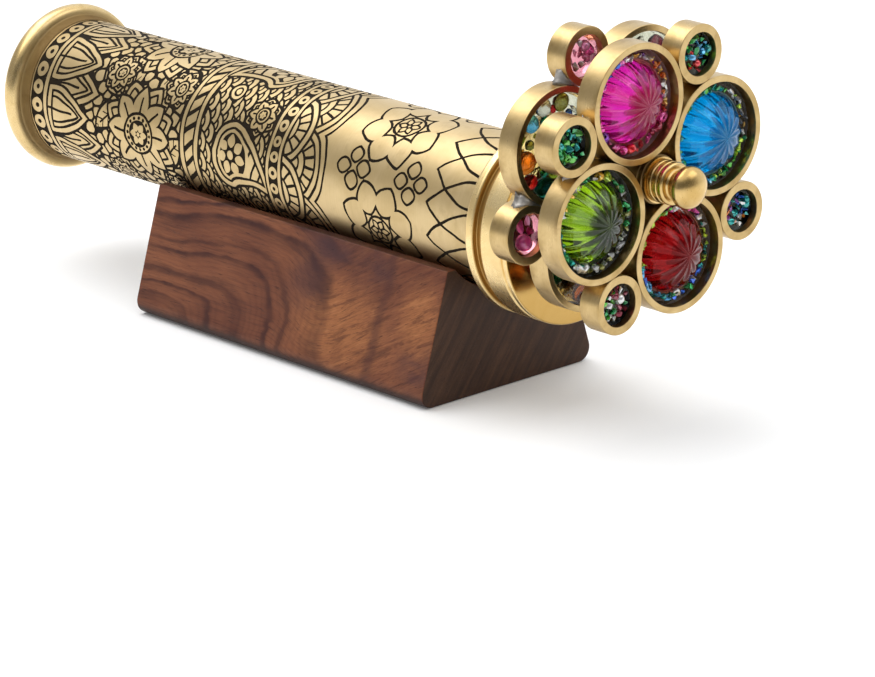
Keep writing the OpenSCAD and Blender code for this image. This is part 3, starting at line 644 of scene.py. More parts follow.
def ornament():
    """Metal where the value is above 0, etched where it is below: bands of petals, roses, drops and fans, and line work towards the front."""
    F = np.full((NU + 1, NV), 3.0, np.float32)
    u = (np.arange(NU + 1) * DU).astype(np.float32)[:, None]
    v = (np.arange(NV) * DV).astype(np.float32)[None, :]

    def window(s, at, shape):
        ku, kv = (shape[0] - 1) // 2, (shape[1] - 1) // 2
        rows = np.arange(int(round(s / DU)) - ku, int(round(s / DU)) + ku + 1)
        ok = (rows >= 0) & (rows <= NU)
        return ok, np.ix_(rows[ok], np.arange(int(round(at / DV)) - kv, int(round(at / DV)) + kv + 1) % NV)

    def put(s, at, fig, gap=0.7):
        ok, where = window(s, at, fig[0].shape)
        F[where] = over(F[where], fig[0][ok], fig[1][ok], gap)

    def engrave(s, at, field):
        ok, where = window(s, at, field.shape)
        F[where] = np.minimum(F[where], field[ok])

    def around(n, turn=0.0):
        return [(k + turn) * GIRTH / n for k in range(n)]

    def phase(n, turn=0.0):
        p = GIRTH / n
        return (v - turn * p + p / 2) % p - p / 2

    def rows(s0, s1):
        return slice(int(round(s0 / DU)), int(round(s1 / DU)) + 1)

    def dark(s0, s1):
        k = rows(s0, s1)
        F[k] = np.minimum(F[k], np.maximum(s0 - u[k], u[k] - s1))

    def land(s0, s1):
        k = rows(s0 - 0.5, s1 + 0.5)
        F[k] = np.maximum(F[k], np.minimum(u[k] - s0, s1 - u[k]))

    dark(1.2, 107.0)
    # pebble ground under the roses: cells round scattered seeds
    rng = np.random.default_rng(11)
    k = rows(24.0, 64.0)
    first = np.full((k.stop - k.start, NV), 99.0, np.float32)
    second = first.copy()
    for row, s in enumerate(np.arange(23.0, 66.0, 3.15)):
        for at in around(33, 0.5 * (row % 2)):
            su, sv = s + rng.uniform(-0.75, 0.75), at + rng.uniform(-0.85, 0.85)
            i0, i1 = max(int((su - 5 - 24.0) / DU), 0), min(int((su + 5 - 24.0) / DU), first.shape[0])
            if i1 <= i0:
                continue
            cols = np.arange(int((sv - 5) / DV), int((sv + 5) / DV))
            d = np.hypot(24.0 + np.arange(i0, i1)[:, None] * DU - su, cols[None, :] * DV - sv).astype(np.float32)
            w = np.ix_(np.arange(i0, i1), cols % NV)
            f1, f2 = first[w], second[w]
            second[w] = np.minimum(f2, np.maximum(f1, d))
            first[w] = np.minimum(f1, d)
    F[k] = np.maximum(F[k], np.minimum((second - first) / 2 - 0.38, 1.7 - first))

    # scale ground under the drops
    X, Y = tile(4.2, 4.2)
    r = np.hypot(X, Y)
    scale = (r - 3.3, np.minimum(3.3 - r, np.abs(r - 1.75) - 0.33))
    for row, s in enumerate(np.arange(100.2, 66.0, -2.5)):
        for at in around(22, 0.5 * (row % 2)):
            put(s, at, scale, 0.7)

    # bead border by the eyepiece
    dark(1.2, 8.3)
    land(6.4, 7.6)
    k = rows(1.4, 6.3)
    r = np.hypot(u[k] - 3.85, phase(24))
    F[k] = np.maximum(F[k], np.minimum(2.05 - r, r - 0.7))
    # lotus petals
    for turn, length, width in ((0.5, 20.5, 7.0), (0.0, 17.0, 6.6)):
        X, Y = tile(12.0, 8.2)
        x = X + 12.0
        d = np.maximum(outline_distance(x, Y, petal(length * 1.45, width, 0.72, 0.82, -length * 0.45)), -x)
        inner = outline_distance(x, Y, petal(length * 1.02, width * 0.5, 0.72, 0.85, -length * 0.25))
        s = np.minimum(-d, np.abs(-d - 1.55) - 0.36)
        s = np.minimum(s, np.maximum(np.abs(inner) - 0.34, 1.7 + d))
        s = np.minimum(s, np.maximum(np.maximum(np.abs(Y) - 0.34, inner + 0.3), x - length * 0.6))
        for at in around(8, turn):
            put(20.3, at, (d, s), 0.75)

    # roses with leaves between them
    for n, at in enumerate(around(8, 0.5)):
        side = 1 if n % 2 == 0 else -1
        for du, dv, ang, long in ((-5.6, 9.2, 1.2, 11.5), (-5.6, -9.2, -1.2, 11.5), (0.4, 5.2, 0.7, 11.0), (0.4, -5.2, -0.7, 11.0)):
            put(46.5 + side * (13.0 + du), at + dv, leaf(long, 3.0, ang if side > 0 else math.pi - ang), 0.75)
    rose, small = rosette(14.2, 8), rosette(5.6, 7, 0.62)
    for at in around(4):
        put(46.5, at, rose, 0.8)
    for at in around(4, 0.5):
        put(34.2, at, small, 0.75)
        put(58.6, at, small, 0.75)

    # rope border
    dark(63.0, 71.0)
    land(63.7, 64.9)
    land(69.1, 70.3)
    k = rows(65.4, 68.6)
    y = (v + (u[k] - 67.0) * 0.8) % (GIRTH / 27) - GIRTH / 54
    F[k] = np.maximum(F[k], np.minimum(1.42 - np.abs(y), 1.55 - np.abs(u[k] - 67.0)))

    # curled drops in two directions
    one = boteh(29.0, 8.8)
    two = (one[0][::-1], one[1][::-1])
    for n, at in enumerate(around(4)):
        put(84.6 + (0.8 if n % 2 else -0.8), at, one if n % 2 else two, 0.85)
    bud, dot = rosette(5.4, 6, 0.62), ring_dot(2.2)
    for n, at in enumerate(around(4, 0.5)):
        put(77.4 if n % 2 else 91.6, at + 1.4, bud, 0.75)
        put(91.0 if n % 2 else 78.0, at - 3.4, dot, 0.75)

    # fans, which open towards the plain part
    for turn, s in ((0.0, 107.4), (0.5, 101.2)):
        X, Y = tile(11.4, 11.4)
        r, a = np.hypot(X, Y), np.arctan2(Y, X)
        m = np.minimum(9.7 - r, np.abs(r - 8.1) - 0.37)
        rays = np.abs((a + 10) % (math.pi / 8) - math.pi / 16) * r - 0.36
        m = np.minimum(m, np.maximum(np.maximum(rays, r - 8.1), 4.5 - r))
        m = np.minimum(m, np.abs(r - 4.5) - 0.36)
        m = np.minimum(m, np.abs(r - 2.2) - 0.34)
        for at in around(7, turn):
            put(s, at, (np.maximum(r - 9.7, 101.5 - s - X), np.minimum(m, X + s - 101.5)), 0.8)
        if s > 107:                                        # plain metal from here on
            k = rows(107.4, 121.0)
            edge = np.hypot(u[k] - 107.4, phase(7)) - 9.7
            F[k] = np.where(edge > 0.4, np.maximum(F[k], edge - 0.8), F[k])
            F[k] = np.minimum(F[k], np.abs(edge - 2.5) - 0.36)
    # border of beads behind the fans
    dark(97.0, 104.0)
    land(97.7, 98.7)
    land(102.2, 103.2)
    k = rows(98.8, 102.1)
    r = np.hypot(u[k] - 100.45, phase(28))
    F[k] = np.maximum(F[k], np.minimum(1.55 - r, r - 0.6))

    # line work on the plain part
    X, Y = tile(14.5, 14.5)
    x, y = fold(X, Y, 8, math.pi / 8)
    lily = np.abs(outline_distance(x, y, petal(8.6, 4.0, 0.95, 0.75, 4.7))) - 0.36
    lily = np.minimum(lily, np.abs(np.hypot(X, Y) - 4.0) - 0.36)
    x, y = fold(X, Y, 6)
    lily = np.minimum(lily, np.abs(outline_distance(x, y, petal(2.7, 0.95, 0.9, 0.9, 0.6))) - 0.28)
    for at in around(4, 0.25):
        engrave(139.2, at, lily)
    X, Y = tile(7.6, 7.6)
    x, y = fold(X, Y, 4)
    clover = np.abs(outline_distance(x, y, petal(4.6, 2.1, 1.0, 0.7, 1.1))) - 0.34
    for at in around(4, 0.75):
        engrave(129.6, at, clover)
        engrave(150.4, at, clover)

    # crossing pointed arches by the front cap
    X, Y = tile(10.0, 10.2)
    arch = np.abs(outline_distance(X, Y, petal(34.0, GIRTH / 7 * 0.47, 1.0, 0.85, -8.6))) - 0.36
    for at in around(7) + around(7, 0.5):
        engrave(165.8, at, arch)
    F[rows(172.8, NU * DU)] = 3.0
    k = rows(172.2, 174.2)
    F[k] = np.minimum(F[k], np.abs(u[k] - 173.2) - 0.35)
    return F


def hand(F):
    """A slight wander in the lines, as hand work has."""
    u = (np.arange(NU + 1) * DU).astype(np.float32)[:, None]
    v = (np.arange(NV) * DV).astype(np.float32)[None, :]
    w = 2 * math.pi / GIRTH
    a = u + 0.16 * np.sin(0.31 * u + 3 * w * v) + 0.12 * np.sin(0.83 * u - 8 * w * v + 1.3)
    b = v + 0.18 * np.sin(0.27 * u + 5 * w * v + 0.7) + 0.12 * np.sin(0.71 * u + 11 * w * v)
    a = np.clip(a / DU, 0, NU - 0.001)
    b = (b / DV) % NV
    i, j = np.floor(a).astype(np.int32), np.floor(b).astype(np.int32)
    fa, fb = a - i, b - j
    j %= NV
    k = (j + 1) % NV
    G = (F[i, j] * (1 - fb) + F[i, k] * fb) * (1 - fa) + (F[i + 1, j] * (1 - fb) + F[i + 1, k] * fb) * fa
    return G + 0.04 * np.sin(1.9 * u + 17 * w * v) * np.sin(1.3 * u - 23 * w * v)


# ---------------------------------------------------------------- stand
def build_stand():
    groove, mid = 22.6, 48.3
    a0 = math.atan2(33.5 - mid, math.sqrt(groove ** 2 - (mid - 33.5) ** 2))
    y0 = groove * math.cos(a0)
    # the section in (y, z), round its outline
    points = [(-29.85, 0.0, 3.5), (29.85, 0.0, 3.5), (19.7, 33.5, 0.55), (y0 + 0.01, 33.5, 0.35)]
    for t in np.linspace(a0 - 0.012, -math.pi - a0 + 0.012, 61):
        points.append((groove * math.cos(t), mid + groove * math.sin(t), None, -math.cos(t), -math.sin(t)))
    points += [(-y0 - 0.01, 33.5, 0.35), (-19.7, 33.5, 0.55)]
    prof = np.array(rounded(points, True, 7))
    p, n = prof[:, :2], prof[:, 2:]
    stations, half, b = [], 55.0, 0.3            # less than the smallest corner radius, or the end outline folds over
    for side in (-1, 1):
        turns = np.linspace(0, math.pi / 2, 5)
        for t in turns if side > 0 else turns[::-1]:
            stations.append((side * (half - b + b * math.sin(t)), b * (1 - math.cos(t)), side * math.sin(t), math.cos(t)))
    verts, normals, faces = [], [], []
    m = len(p)
    for x, off, nx, k in stations:
        q = p - n * off
        verts.append(np.c_[np.full(m, x), q])
        normals.append(np.c_[np.full(m, nx), n * k])
    for i in range(len(stations) - 1):
        for j in range(m):
            k = (j + 1) % m
            faces.append((i * m + j, (i + 1) * m + j, (i + 1) * m + k, i * m + k))
    verts, normals = np.vstack(verts), np.vstack(normals)
    f = faces[0]
    if np.cross(verts[f[1]] - verts[f[0]], verts[f[2]] - verts[f[0]]) @ normals[list(f)].sum(0) < 0:
        faces = [g[::-1] for g in faces]
    first, last = tuple(range(m)), tuple((len(stations) - 1) * m + j for j in range(m))
    faces += [first[::-1], last]
    make("stand_block", verts, faces, M_WOOD, "stand", "stand", normals=normals)


build_stand()


# ---------------------------------------------------------------- tube with its etched pattern
def contours(G):
    """Zero lines of a grid of values, as runs of (row, column) points; closed runs end where they begin."""
    n0, n1 = G.shape
    S = G > 0
    flat = lambda i, j: i * n1 + j
    code = S[:-1, :-1] * 1 + S[1:, :-1] * 2 + S[1:, 1:] * 4 + S[:-1, 1:] * 8
    pairs = {1: ((3, 0),), 2: ((0, 1),), 3: ((3, 1),), 4: ((1, 2),), 5: ((3, 0), (1, 2)), 6: ((0, 2),), 7: ((3, 2),), 8: ((2, 3),), 9: ((0, 2),), 10: ((0, 1), (2, 3)), 11: ((1, 2),), 12: ((3, 1),), 13: ((0, 1),), 14: ((3, 0),)}
    base = n0 * n1
    segs = []
    for k, es in pairs.items():
        i, j = np.nonzero(code == k)
        edge = (flat(i, j), base + flat(i + 1, j), flat(i, j + 1), base + flat(i, j))
        for a, b in es:
            segs.append(np.c_[edge[a], edge[b]])
    segs = np.vstack(segs)
    ids, inv = np.unique(segs.ravel(), return_inverse=True)
    inv = inv.reshape(-1, 2)
    along_u = ids < base
    e = np.where(along_u, ids, ids - base)
    i, j = e // n1, e % n1
    i2, j2 = i + along_u, j + ~along_u
    g0, g1 = G[i, j], G[i2, j2]
    t = np.clip(g0 / (g0 - g1), 0.0, 1.0)
    pts = np.c_[i + t * along_u, j + t * ~along_u]
    nb = np.full((len(ids), 2), -1, np.int64)
    for a, b in ((0, 1), (1, 0)):
        order = np.argsort(inv[:, a], kind="stable")
        q, to = inv[order, a], inv[order, b]
        first = np.r_[True, q[1:] != q[:-1]]
        for idx, here in ((first, q[first]), (~first, q[~first])):
            free = (nb[here, 0] >= 0).astype(int)
            nb[here, free] = to[idx]
    nb = nb.tolist()
    seen = [False] * len(nb)
    runs = []

    def walk(start):
        run, prev, here = [start], -1, start
        seen[start] = True
        while True:
            a, b = nb[here]
            nxt = a if a != prev and a >= 0 and not (a == run[0] and len(run) == 2) else b
            if nxt == prev:
                nxt = b if nxt == a else a
            if nxt < 0:
                return run
            if nxt == start:
                return run + [start]
            if seen[nxt]:
                return run
            seen[nxt] = True
            run.append(nxt)
            prev, here = here, nxt

    for k, (a, b) in enumerate(nb):                       # open runs first, from their ends
        if not seen[k] and (a < 0 or b < 0):
            runs.append(walk(k))
    for k in range(len(nb)):
        if not seen[k]:
            runs.append(walk(k))
    return [pts[r] for r in runs]


def thinned(p, tol):
    """Points of a run that keep it within tol of itself."""
    keep = np.zeros(len(p), bool)
    keep[[0, -1]] = True
    stack = [(0, len(p) - 1)]
    if np.allclose(p[0], p[-1]):
        far = int(np.argmax(np.hypot(*(p - p[0]).T)))
        keep[far] = True
        stack = [(0, far), (far, len(p) - 1)]
    while stack:
        a, b = stack.pop()
        if b - a < 2:
            continue
        d = p[b] - p[a]
        q = p[a + 1:b] - p[a]
        l = math.hypot(*d)
        e = np.abs(q[:, 0] * d[1] - q[:, 1] * d[0]) / l if l > 1e-9 else np.hypot(q[:, 0], q[:, 1])
        k = int(np.argmax(e))
        if e[k] > tol:
            k += a + 1
            keep[k] = True
            stack += [(a, k), (k, b)]
    return p[keep]


def build_tube():
    F = hand(ornament())
    G = np.c_[F, F[:, :1]].astype(float)
    length, girth = NU * DU, GIRTH
    step_v, step_u = 1.9, 6.0
    points, edges = [], []
    on_left, on_right = [], []                            # points on the seam, at v = 0 and v = girth

    def add(q):
        points.append((float(q[0]), float(q[1])))
        return len(points) - 1

    for run in contours(G):
        run = run * (DU, DV)
        closed = np.allclose(run[0], run[-1])
        size = np.abs(np.diff(run, axis=0)).sum()
        if size < 0.7:
            continue
        run = thinned(run, 0.022)
        if closed and len(run) < 5:
            continue
        ids = []
        for q0, q1 in zip(run[:-1], run[1:]):
            ids.append(add(q0))
            k = int(max(abs(q1[1] - q0[1]) / step_v, abs(q1[0] - q0[0]) / 12.0))
            ids += [add(q0 + (q1 - q0) * t) for t in (np.arange(1, k + 1) / (k + 1))]
        if closed:
            ids.append(ids[0])
        else:
            ids.append(add(run[-1]))
            for k in (ids[0], ids[-1]):
                if points[k][1] < 1e-6:
                    on_left.append(k)
                elif points[k][1] > girth - 1e-6:
                    on_right.append(k)
        edges += list(zip(ids[:-1], ids[1:]))
    marks = len(edges)
    ends = {0.0: [], length: []}
    n_v = int(math.ceil(girth / step_v))
    for s in (0.0, length):
        ends[s] = [add((s, girth * k / n_v)) for k in range(n_v + 1)]
        edges += list(zip(ends[s][:-1], ends[s][1:]))
    for group, at, corner in ((on_left, 0.0, 0), (on_right, girth, -1)):
        taken = [points[k][0] for k in group]
        for s in np.arange(step_u, length - 1, step_u):
            if not taken or min(abs(s - t) for t in taken) > 1.0:
                group.append(add((s, at)))
        group += [ends[0.0][corner], ends[length][corner]]
        group.sort(key=lambda k: points[k][0])
        edges += list(zip(group[:-1], group[1:]))
    # points inside wide areas, so that they follow the round of the tube
    for row, s in enumerate(np.arange(3.0, length - 2.0, 3.4)):
        for k in range(n_v):
            at = (k + 0.5 * (row % 2)) * girth / n_v
            if 0.8 < at < girth - 0.8:
                i, j = int(round(s / DU)), int(round(at / DV))
                if abs(G[i, j]) > 0.62:
                    add((s, at))
    out, out_edges, tris, _, from_edges, _ = delaunay_2d_cdt([Vector(q) for q in points], edges, [], 0, 1e-5)
    uv = np.array([tuple(q) for q in out])
    tris = np.array([t for t in tris if len(t) == 3])
    # groups of triangles with no etched line between them get one level each
    line = {tuple(sorted(e)) for e, src in zip(out_edges, from_edges) if any(k < marks for k in src)}
    mid = uv[tris].mean(1)
    gi, gj = np.clip(mid[:, 0] / DU, 0, NU - 1e-3), np.clip(mid[:, 1] / DV, 0, NV - 1e-3)
    i, j = gi.astype(int), gj.astype(int)
    fi, fj = gi - i, gj - j
    g = (G[i, j] * (1 - fj) + G[i, j + 1] * fj) * (1 - fi) + (G[i + 1, j] * (1 - fj) + G[i + 1, j + 1] * fj) * fi
    d1, d2 = uv[tris[:, 1]] - uv[tris[:, 0]], uv[tris[:, 2]] - uv[tris[:, 0]]
    area = (d1[:, 0] * d2[:, 1] - d1[:, 1] * d2[:, 0]) / 2
    tris[area < 0] = tris[area < 0][:, ::-1]              # all run the same way round
    area = np.abs(area)
    owners = {}
    for k, t in enumerate(tris.tolist()):
        for a, b in ((t[0], t[1]), (t[1], t[2]), (t[2], t[0])):
            owners.setdefault((a, b) if a < b else (b, a), []).append(k)
    near = [[] for _ in range(len(tris))]
    for e, ks in owners.items():
        if len(ks) == 2 and e not in line:
            near[ks[0]].append(ks[1])
            near[ks[1]].append(ks[0])
    group = np.full(len(tris), -1)
    count = 0
    for k in range(len(tris)):
        if group[k] < 0:
            group[k] = count
            todo = [k]
            while todo:
                for m in near[todo.pop()]:
                    if group[m] < 0:
                        group[m] = count
                        todo.append(m)
            count += 1
    level = np.zeros(count)
    np.add.at(level, group, g * area)
    brassy = (level > 0)[group]
    # joins the two sides of the seam
    seam = {round(uv[k, 0], 3): k for k in np.nonzero(uv[:, 1] < 1e-5)[0]}
    same = np.arange(len(uv))
    for k in np.nonzero(uv[:, 1] > girth - 1e-4)[0]:
        same[k] = seam.get(round(uv[k, 0], 3), k)
    theta = math.radians(270) + uv[:, 1] / TUBE_R
    radial = np.c_[np.zeros(len(uv)), np.cos(theta), np.sin(theta)]
    x = uv[:, 0] + ETCH_BACK
    deep = 0.13
    verts = np.vstack([radial * TUBE_R, radial * (TUBE_R - deep)])
    verts[:, 0] += np.r_[x, x]
    nv = len(uv)
    join = np.r_[same, same + nv]
    outward = tris[:, ::-1]
    faces = np.where(brassy[:, None], outward, outward + nv)
    normals = radial[outward].reshape(-1, 3)
    index = np.where(brassy, 0, 1)
    coords = np.c_[uv[:, 0] / length, uv[:, 1] / girth * 0.8]
    loop_uv = coords[outward].reshape(-1, 2)
    # walls of the etched lines
    quads, wall_n, wall_uv = [], [], []
    for e, ks in owners.items():
        if len(ks) == 2 and brassy[ks[0]] != brassy[ks[1]]:
            k = ks[0] if brassy[ks[0]] else ks[1]
            t = tris[k].tolist()
            a, b = e
            if (t.index(a) + 1) % 3 != t.index(b):
                a, b = b, a
            # a to b runs round the metal with the metal on its left
            quads.append((a, b, b + nv, a + nv))
            d = (uv[b] - uv[a]) / (math.hypot(*(uv[b] - uv[a])) + 1e-12)
            th = theta[a]
            nrm = np.array((d[1], d[0] * math.sin(th), -d[0] * math.cos(th)))
            wall_n += [nrm] * 4
            wall_uv += [coords[a], coords[b], coords[b], coords[a]]
    # the hidden ends and the bore, one run of rings
    ring_rows = [(ETCH_BACK, TUBE_R, 0, 1), (TUBE_BACK, TUBE_R, 0, 1), None, (TUBE_BACK, TUBE_R, -1, 0), (TUBE_BACK, TUBE_RI, -1, 0), None, (TUBE_BACK, TUBE_RI, 0, -1), (TUBE_FRONT, TUBE_RI, 0, -1), None, (TUBE_FRONT, TUBE_RI, 1, 0), (TUBE_FRONT, TUBE_R, 1, 0), None, (TUBE_FRONT, TUBE_R, 0, 1), (ETCH_BACK + length, TUBE_R, 0, 1)]
    seg = 96
    th = np.linspace(0, 2 * math.pi, seg, endpoint=False)
    extra, extra_f, extra_n, extra_uv = [], [], [], []
    base = 2 * nv
    prev = None
    for n_row, row in enumerate(ring_rows):
        if row is None:
            prev = None
            continue
        rx, rr, nx, nr = row
        here = base + len(extra)
        extra += list(zip(np.full(seg, rx), rr * np.cos(th), rr * np.sin(th)))
        if prev is not None:
            for j in range(seg):
                k = (j + 1) % seg
                extra_f.append((prev + j, here + j, here + k, prev + k))
                for q in (j, j, k, k):
                    extra_n.append((nx, nr * math.cos(th[q]), nr * math.sin(th[q])))
                v0, v1 = 0.82 + 0.035 * (n_row // 3), 0.85 + 0.035 * (n_row // 3)
                extra_uv += [(j / seg, v0), (j / seg, v1), ((j + 1) / seg, v1), ((j + 1) / seg, v0)]
        prev = here
    verts = np.vstack([verts, np.array(extra)])
    join = np.r_[join, np.arange(base, len(verts))]
    all_faces = [tuple(f) for f in join[faces].tolist()] + [tuple(join[list(q)].tolist()) for q in quads] + extra_f
    all_n = np.vstack([normals, np.array(wall_n), np.array(extra_n)])
    all_uv = np.vstack([loop_uv, np.array(wall_uv), np.array(extra_uv)])
    all_i = np.r_[index, np.ones(len(quads), int), np.zeros(len(extra_f), int)]
    used = np.zeros(len(verts), bool)
    for f in all_faces:
        used[list(f)] = True
    renum = np.cumsum(used) - 1
    all_faces = [tuple(int(renum[k]) for k in f) for f in all_faces]
    ob = make("tube_etched", verts[used], all_faces, [M_TUBE, M_ETCH], "scope", "tube", index=all_i, loop_normals=all_n, origin=(0.0, 0.0, TUBE_Z))
    layer = ob.data.uv_layers.new(name="OFBake")
    layer.data.foreach_set("uv", all_uv.ravel())
    print("tube", len(points), "points,", len(tris), "triangles,", len(quads), "walls,", len(all_faces), "faces")


build_tube()

# ---------------------------------------------------------------- turned brass
def lip_points():
    pts = [(1.6, 6.0, 0.15), (3.2, 6.0, 0.05), (3.2, 19.03, 0.05), (8.2, 19.03, 0.03)]
    for t in np.linspace(0.0, math.pi / 2, 12):            # the cove
        nx, nr = math.sin(t) / 2.9, math.cos(t) / 1.2
        q = math.hypot(nx, nr)
        pts.append((8.2 - 2.9 * math.sin(t), 20.34 - 1.2 * math.cos(t), None, nx / q, nr / q))
    k, a, b = 0.86, 2.65, 2.8
    for t in np.linspace(0.2, math.pi, 34):                # the lip
        cs, sn = math.cos(t), max(math.sin(t), 0.0)
        nx, nr = math.copysign(abs(cs) ** (2 - k), cs) / a, sn ** (2 - k) / b
        q = math.hypot(nx, nr)
        pts.append((2.65 + a * math.copysign(abs(cs) ** k, cs), 19.7 + b * sn ** k, None, nx / q, nr / q))
    return pts + [(0.0, 11.0, 0.3)]


turned_piece("eyepiece_lip", lip_points(), (-118.2, 0, TUBE_Z), M_LIP, "scope", "eyepiece_cap", 192, True, 8)
turned_piece("front_cap_turned", [(0.0, 23.35, 1.1), (2.9, 23.35, 0.7), (2.95, 21.75, 0.25), (5.0, 21.75, 0.6), (6.0, 23.4, 0.5), (12.4, 23.4, 0.12), (12.7, 22.85, 0.08), (13.15, 22.85, 0.08), (13.45, 23.4, 0.12), (14.7, 23.4, 0.4), (14.7, 13.4, 0.35), (8.3, 13.4, 0.05), (8.3, 19.03, 0.05), (0.0, 19.03, 0.05)], (64.7, 0, TUBE_Z), M_CAP, "scope", "front_cap", 192)


def finial_points():
    pts = [(0.0, 0.0, 0.0)]
    for k in range(3):
        x = 1.75 * k
        pts += [(x, 5.2, 0.82), (x + 1.65, 5.2, 0.82)]
        if k < 2:
            pts += [(x + 1.65, 4.35, 0.05), (x + 1.75, 4.35, 0.05)]
    pts += [(5.15, 3.75, 0.08), (5.6, 3.45, 0.4)]
    for t in np.linspace(math.radians(-46), math.pi / 2, 26):
        nx, nr = math.sin(t) / 3.35, math.cos(t) / 5.2
        q = math.hypot(nx, nr)
        pts.append((9.05 + 3.35 * math.sin(t), max(5.2 * math.cos(t), 0.0) if t < 1.57 else 0.0, None, nx / q, nr / q))
    return pts


turned_piece("finial_turned", finial_points(), (107.9, 0, AXLE_Z), M_TURNED, "scope", "finial", 96, False, 8)
for name, x0, x1 in (("rear_hub", 80.1, 94.0), ("front_hub", 94.8, 107.2)):
    w = x1 - x0
    turned_piece(name + "_turned", [(0.0, 2.56, 0.1), (w, 2.56, 0.1), (w, HUB_R, 0.35), (w - 0.9, HUB_R, 0.06), (w - 1.1, HUB_R - 0.25, 0.06), (w - 1.5, HUB_R - 0.25, 0.06), (w - 1.7, HUB_R, 0.06), (0.0, HUB_R, 0.35)], (x0, 0, AXLE_Z), M_HUB, name.split("_")[0] + "_wheel", name, 72)


# ---------------------------------------------------------------- rings
def ring_piece(name, plane, angle, c, ro, ri, body):
    ro -= 0.006
    turned_piece(name + "_ring", [(0.0, ri, 0.14), (-RING_LEN, ri, 0.14), (-RING_LEN, ro, 0.22), (0.0, ro, 0.2)], cell_at(plane, angle, c), M_RING, body, name, 128 if ro > 10 else 80, True, 4)


for wheel, plane, large, small in (("front", FRONT, FRONT_LARGE, FRONT_SMALL), ("rear", REAR, REAR_LARGE, REAR_SMALL)):
    for k, a in large.items():
        ring_piece("%s_ring_%s" % (wheel, k), plane, a, RING_C, RING_R, RING_RI, wheel + "_wheel")
    for k, a in small.items():
        ring_piece("%s_small_ring_%s" % (wheel, k), plane, a, SMALL_C, SMALL_R, SMALL_RI, wheel + "_wheel")


# ---------------------------------------------------------------- glass domes
def dome_piece(k, angle):
    nt, lobes, per = 48, 14, 24
    nb = lobes * per
    R, H, depth = 9.9, 8.4, 0.78
    e = np.linspace(0.0, math.pi / 2 - 0.004, nt)[:, None]
    w = np.linspace(0, 2 * math.pi, nb, endpoint=False)[None, :]
    half = math.pi / lobes
    u = np.abs((w + half) % (2 * half) - half) / half
    wide = np.minimum(0.62 / (R * np.cos(e) * half), 0.40)
    t = (np.sqrt(u * u + wide * wide) - wide) / (np.sqrt(1 + wide * wide) - wide)
    flute = (1 - (1 - t) ** 2) * np.cos(e) ** 0.8 / (1 + 1.3 * wide)
    r = R - 0.02 - depth * flute - 0.10 * np.sin(e) ** 8
    P = np.stack([r * np.sin(e) * H / R, r * np.cos(e) * np.cos(w), r * np.cos(e) * np.sin(w)], -1)
    dw = np.roll(P, -1, 1) - np.roll(P, 1, 1)
    de = np.gradient(P, axis=0)
    N = np.cross(dw, de)
    N /= np.linalg.norm(N, axis=-1, keepdims=True) + 1e-12
    N *= np.sign((N * P).sum(-1, keepdims=True))
    verts = [tuple(q) for q in P.reshape(-1, 3)]
    normals = [tuple(q) for q in N.reshape(-1, 3)]
    faces = []
    for i in range(nt - 1):
        for j in range(nb):
            m = (j + 1) % nb
            faces.append((i * nb + j, i * nb + m, (i + 1) * nb + m, (i + 1) * nb + j))
    top = len(verts)
    verts.append((float(P[-1, :, 0].mean()) + 0.002, 0.0, 0.0))
    normals.append((1.0, 0.0, 0.0))
    faces += [((nt - 1) * nb + j, (nt - 1) * nb + (j + 1) % nb, top) for j in range(nb)]
    base = len(verts)                                      # the flat underside, with its own points
    verts += [tuple(q) for q in P[0]]
    normals += [(-1.0, 0.0, 0.0)] * nb
    mid = len(verts)
    verts.append((0.0, 0.0, 0.0))
    normals.append((-1.0, 0.0, 0.0))
    faces += [(base + (j + 1) % nb, base + j, mid) for j in range(nb)]
    V, Nn = np.array(verts), np.array(normals)
    f = faces[nb * 5]
    if np.cross(V[f[1]] - V[f[0]], V[f[2]] - V[f[0]]) @ Nn[list(f)].sum(0) < 0:
        faces = [g[::-1] for g in faces]
    x, y, z = cell_at(FRONT, angle, RING_C)
    make("front_dome_%s_fluted" % k, V, faces, M_DOME[k], "front_wheel", "front_dome_" + k, normals=Nn, origin=(x - 5.18, y, z))


for k, a in FRONT_LARGE.items():
    dome_piece(k, a)

# ---------------------------------------------------------------- resin
for k, a in FRONT_LARGE.items():
    turned_piece("front_resin_%s_poured" % k, [(-6.2, 0.0, 0), (-6.2, 12.97, 0.1), (-2.7, 12.97, 0.02), (-3.25, 12.2, 0.6), (-3.3, 11.0, 0.6), (-3.05, 9.96, 0.02), (-5.2, 9.96, 0.02), (-5.2, 0.0, 0)], cell_at(FRONT, a, RING_C), M_FLOOR[k], "front_wheel", "front_resin_" + k, 96, False)
for k, a in REAR_LARGE.items():
    turned_piece("rear_resin_%s_poured" % k, [(-6.2, 0.0, 0), (-6.2, 12.97, 0.1), (-1.15, 12.97, 0.02), (-1.2, 12.3, 1.0), (-0.35, 7.0, 12.0), (-0.1, 0.0, 0)], cell_at(REAR, a, RING_C), M_RESIN, "rear_wheel", "rear_resin_" + k, 96, False)


def joined(parts):
    """Several (points, faces, normals) as one."""
    V, F, N, at = [], [], [], 0
    for v, f, n in parts:
        V.append(v)
        N.append(n)
        F += [tuple(q + at for q in g) for g in f]
        at += len(v)
    return np.vstack(V), F, np.vstack(N)


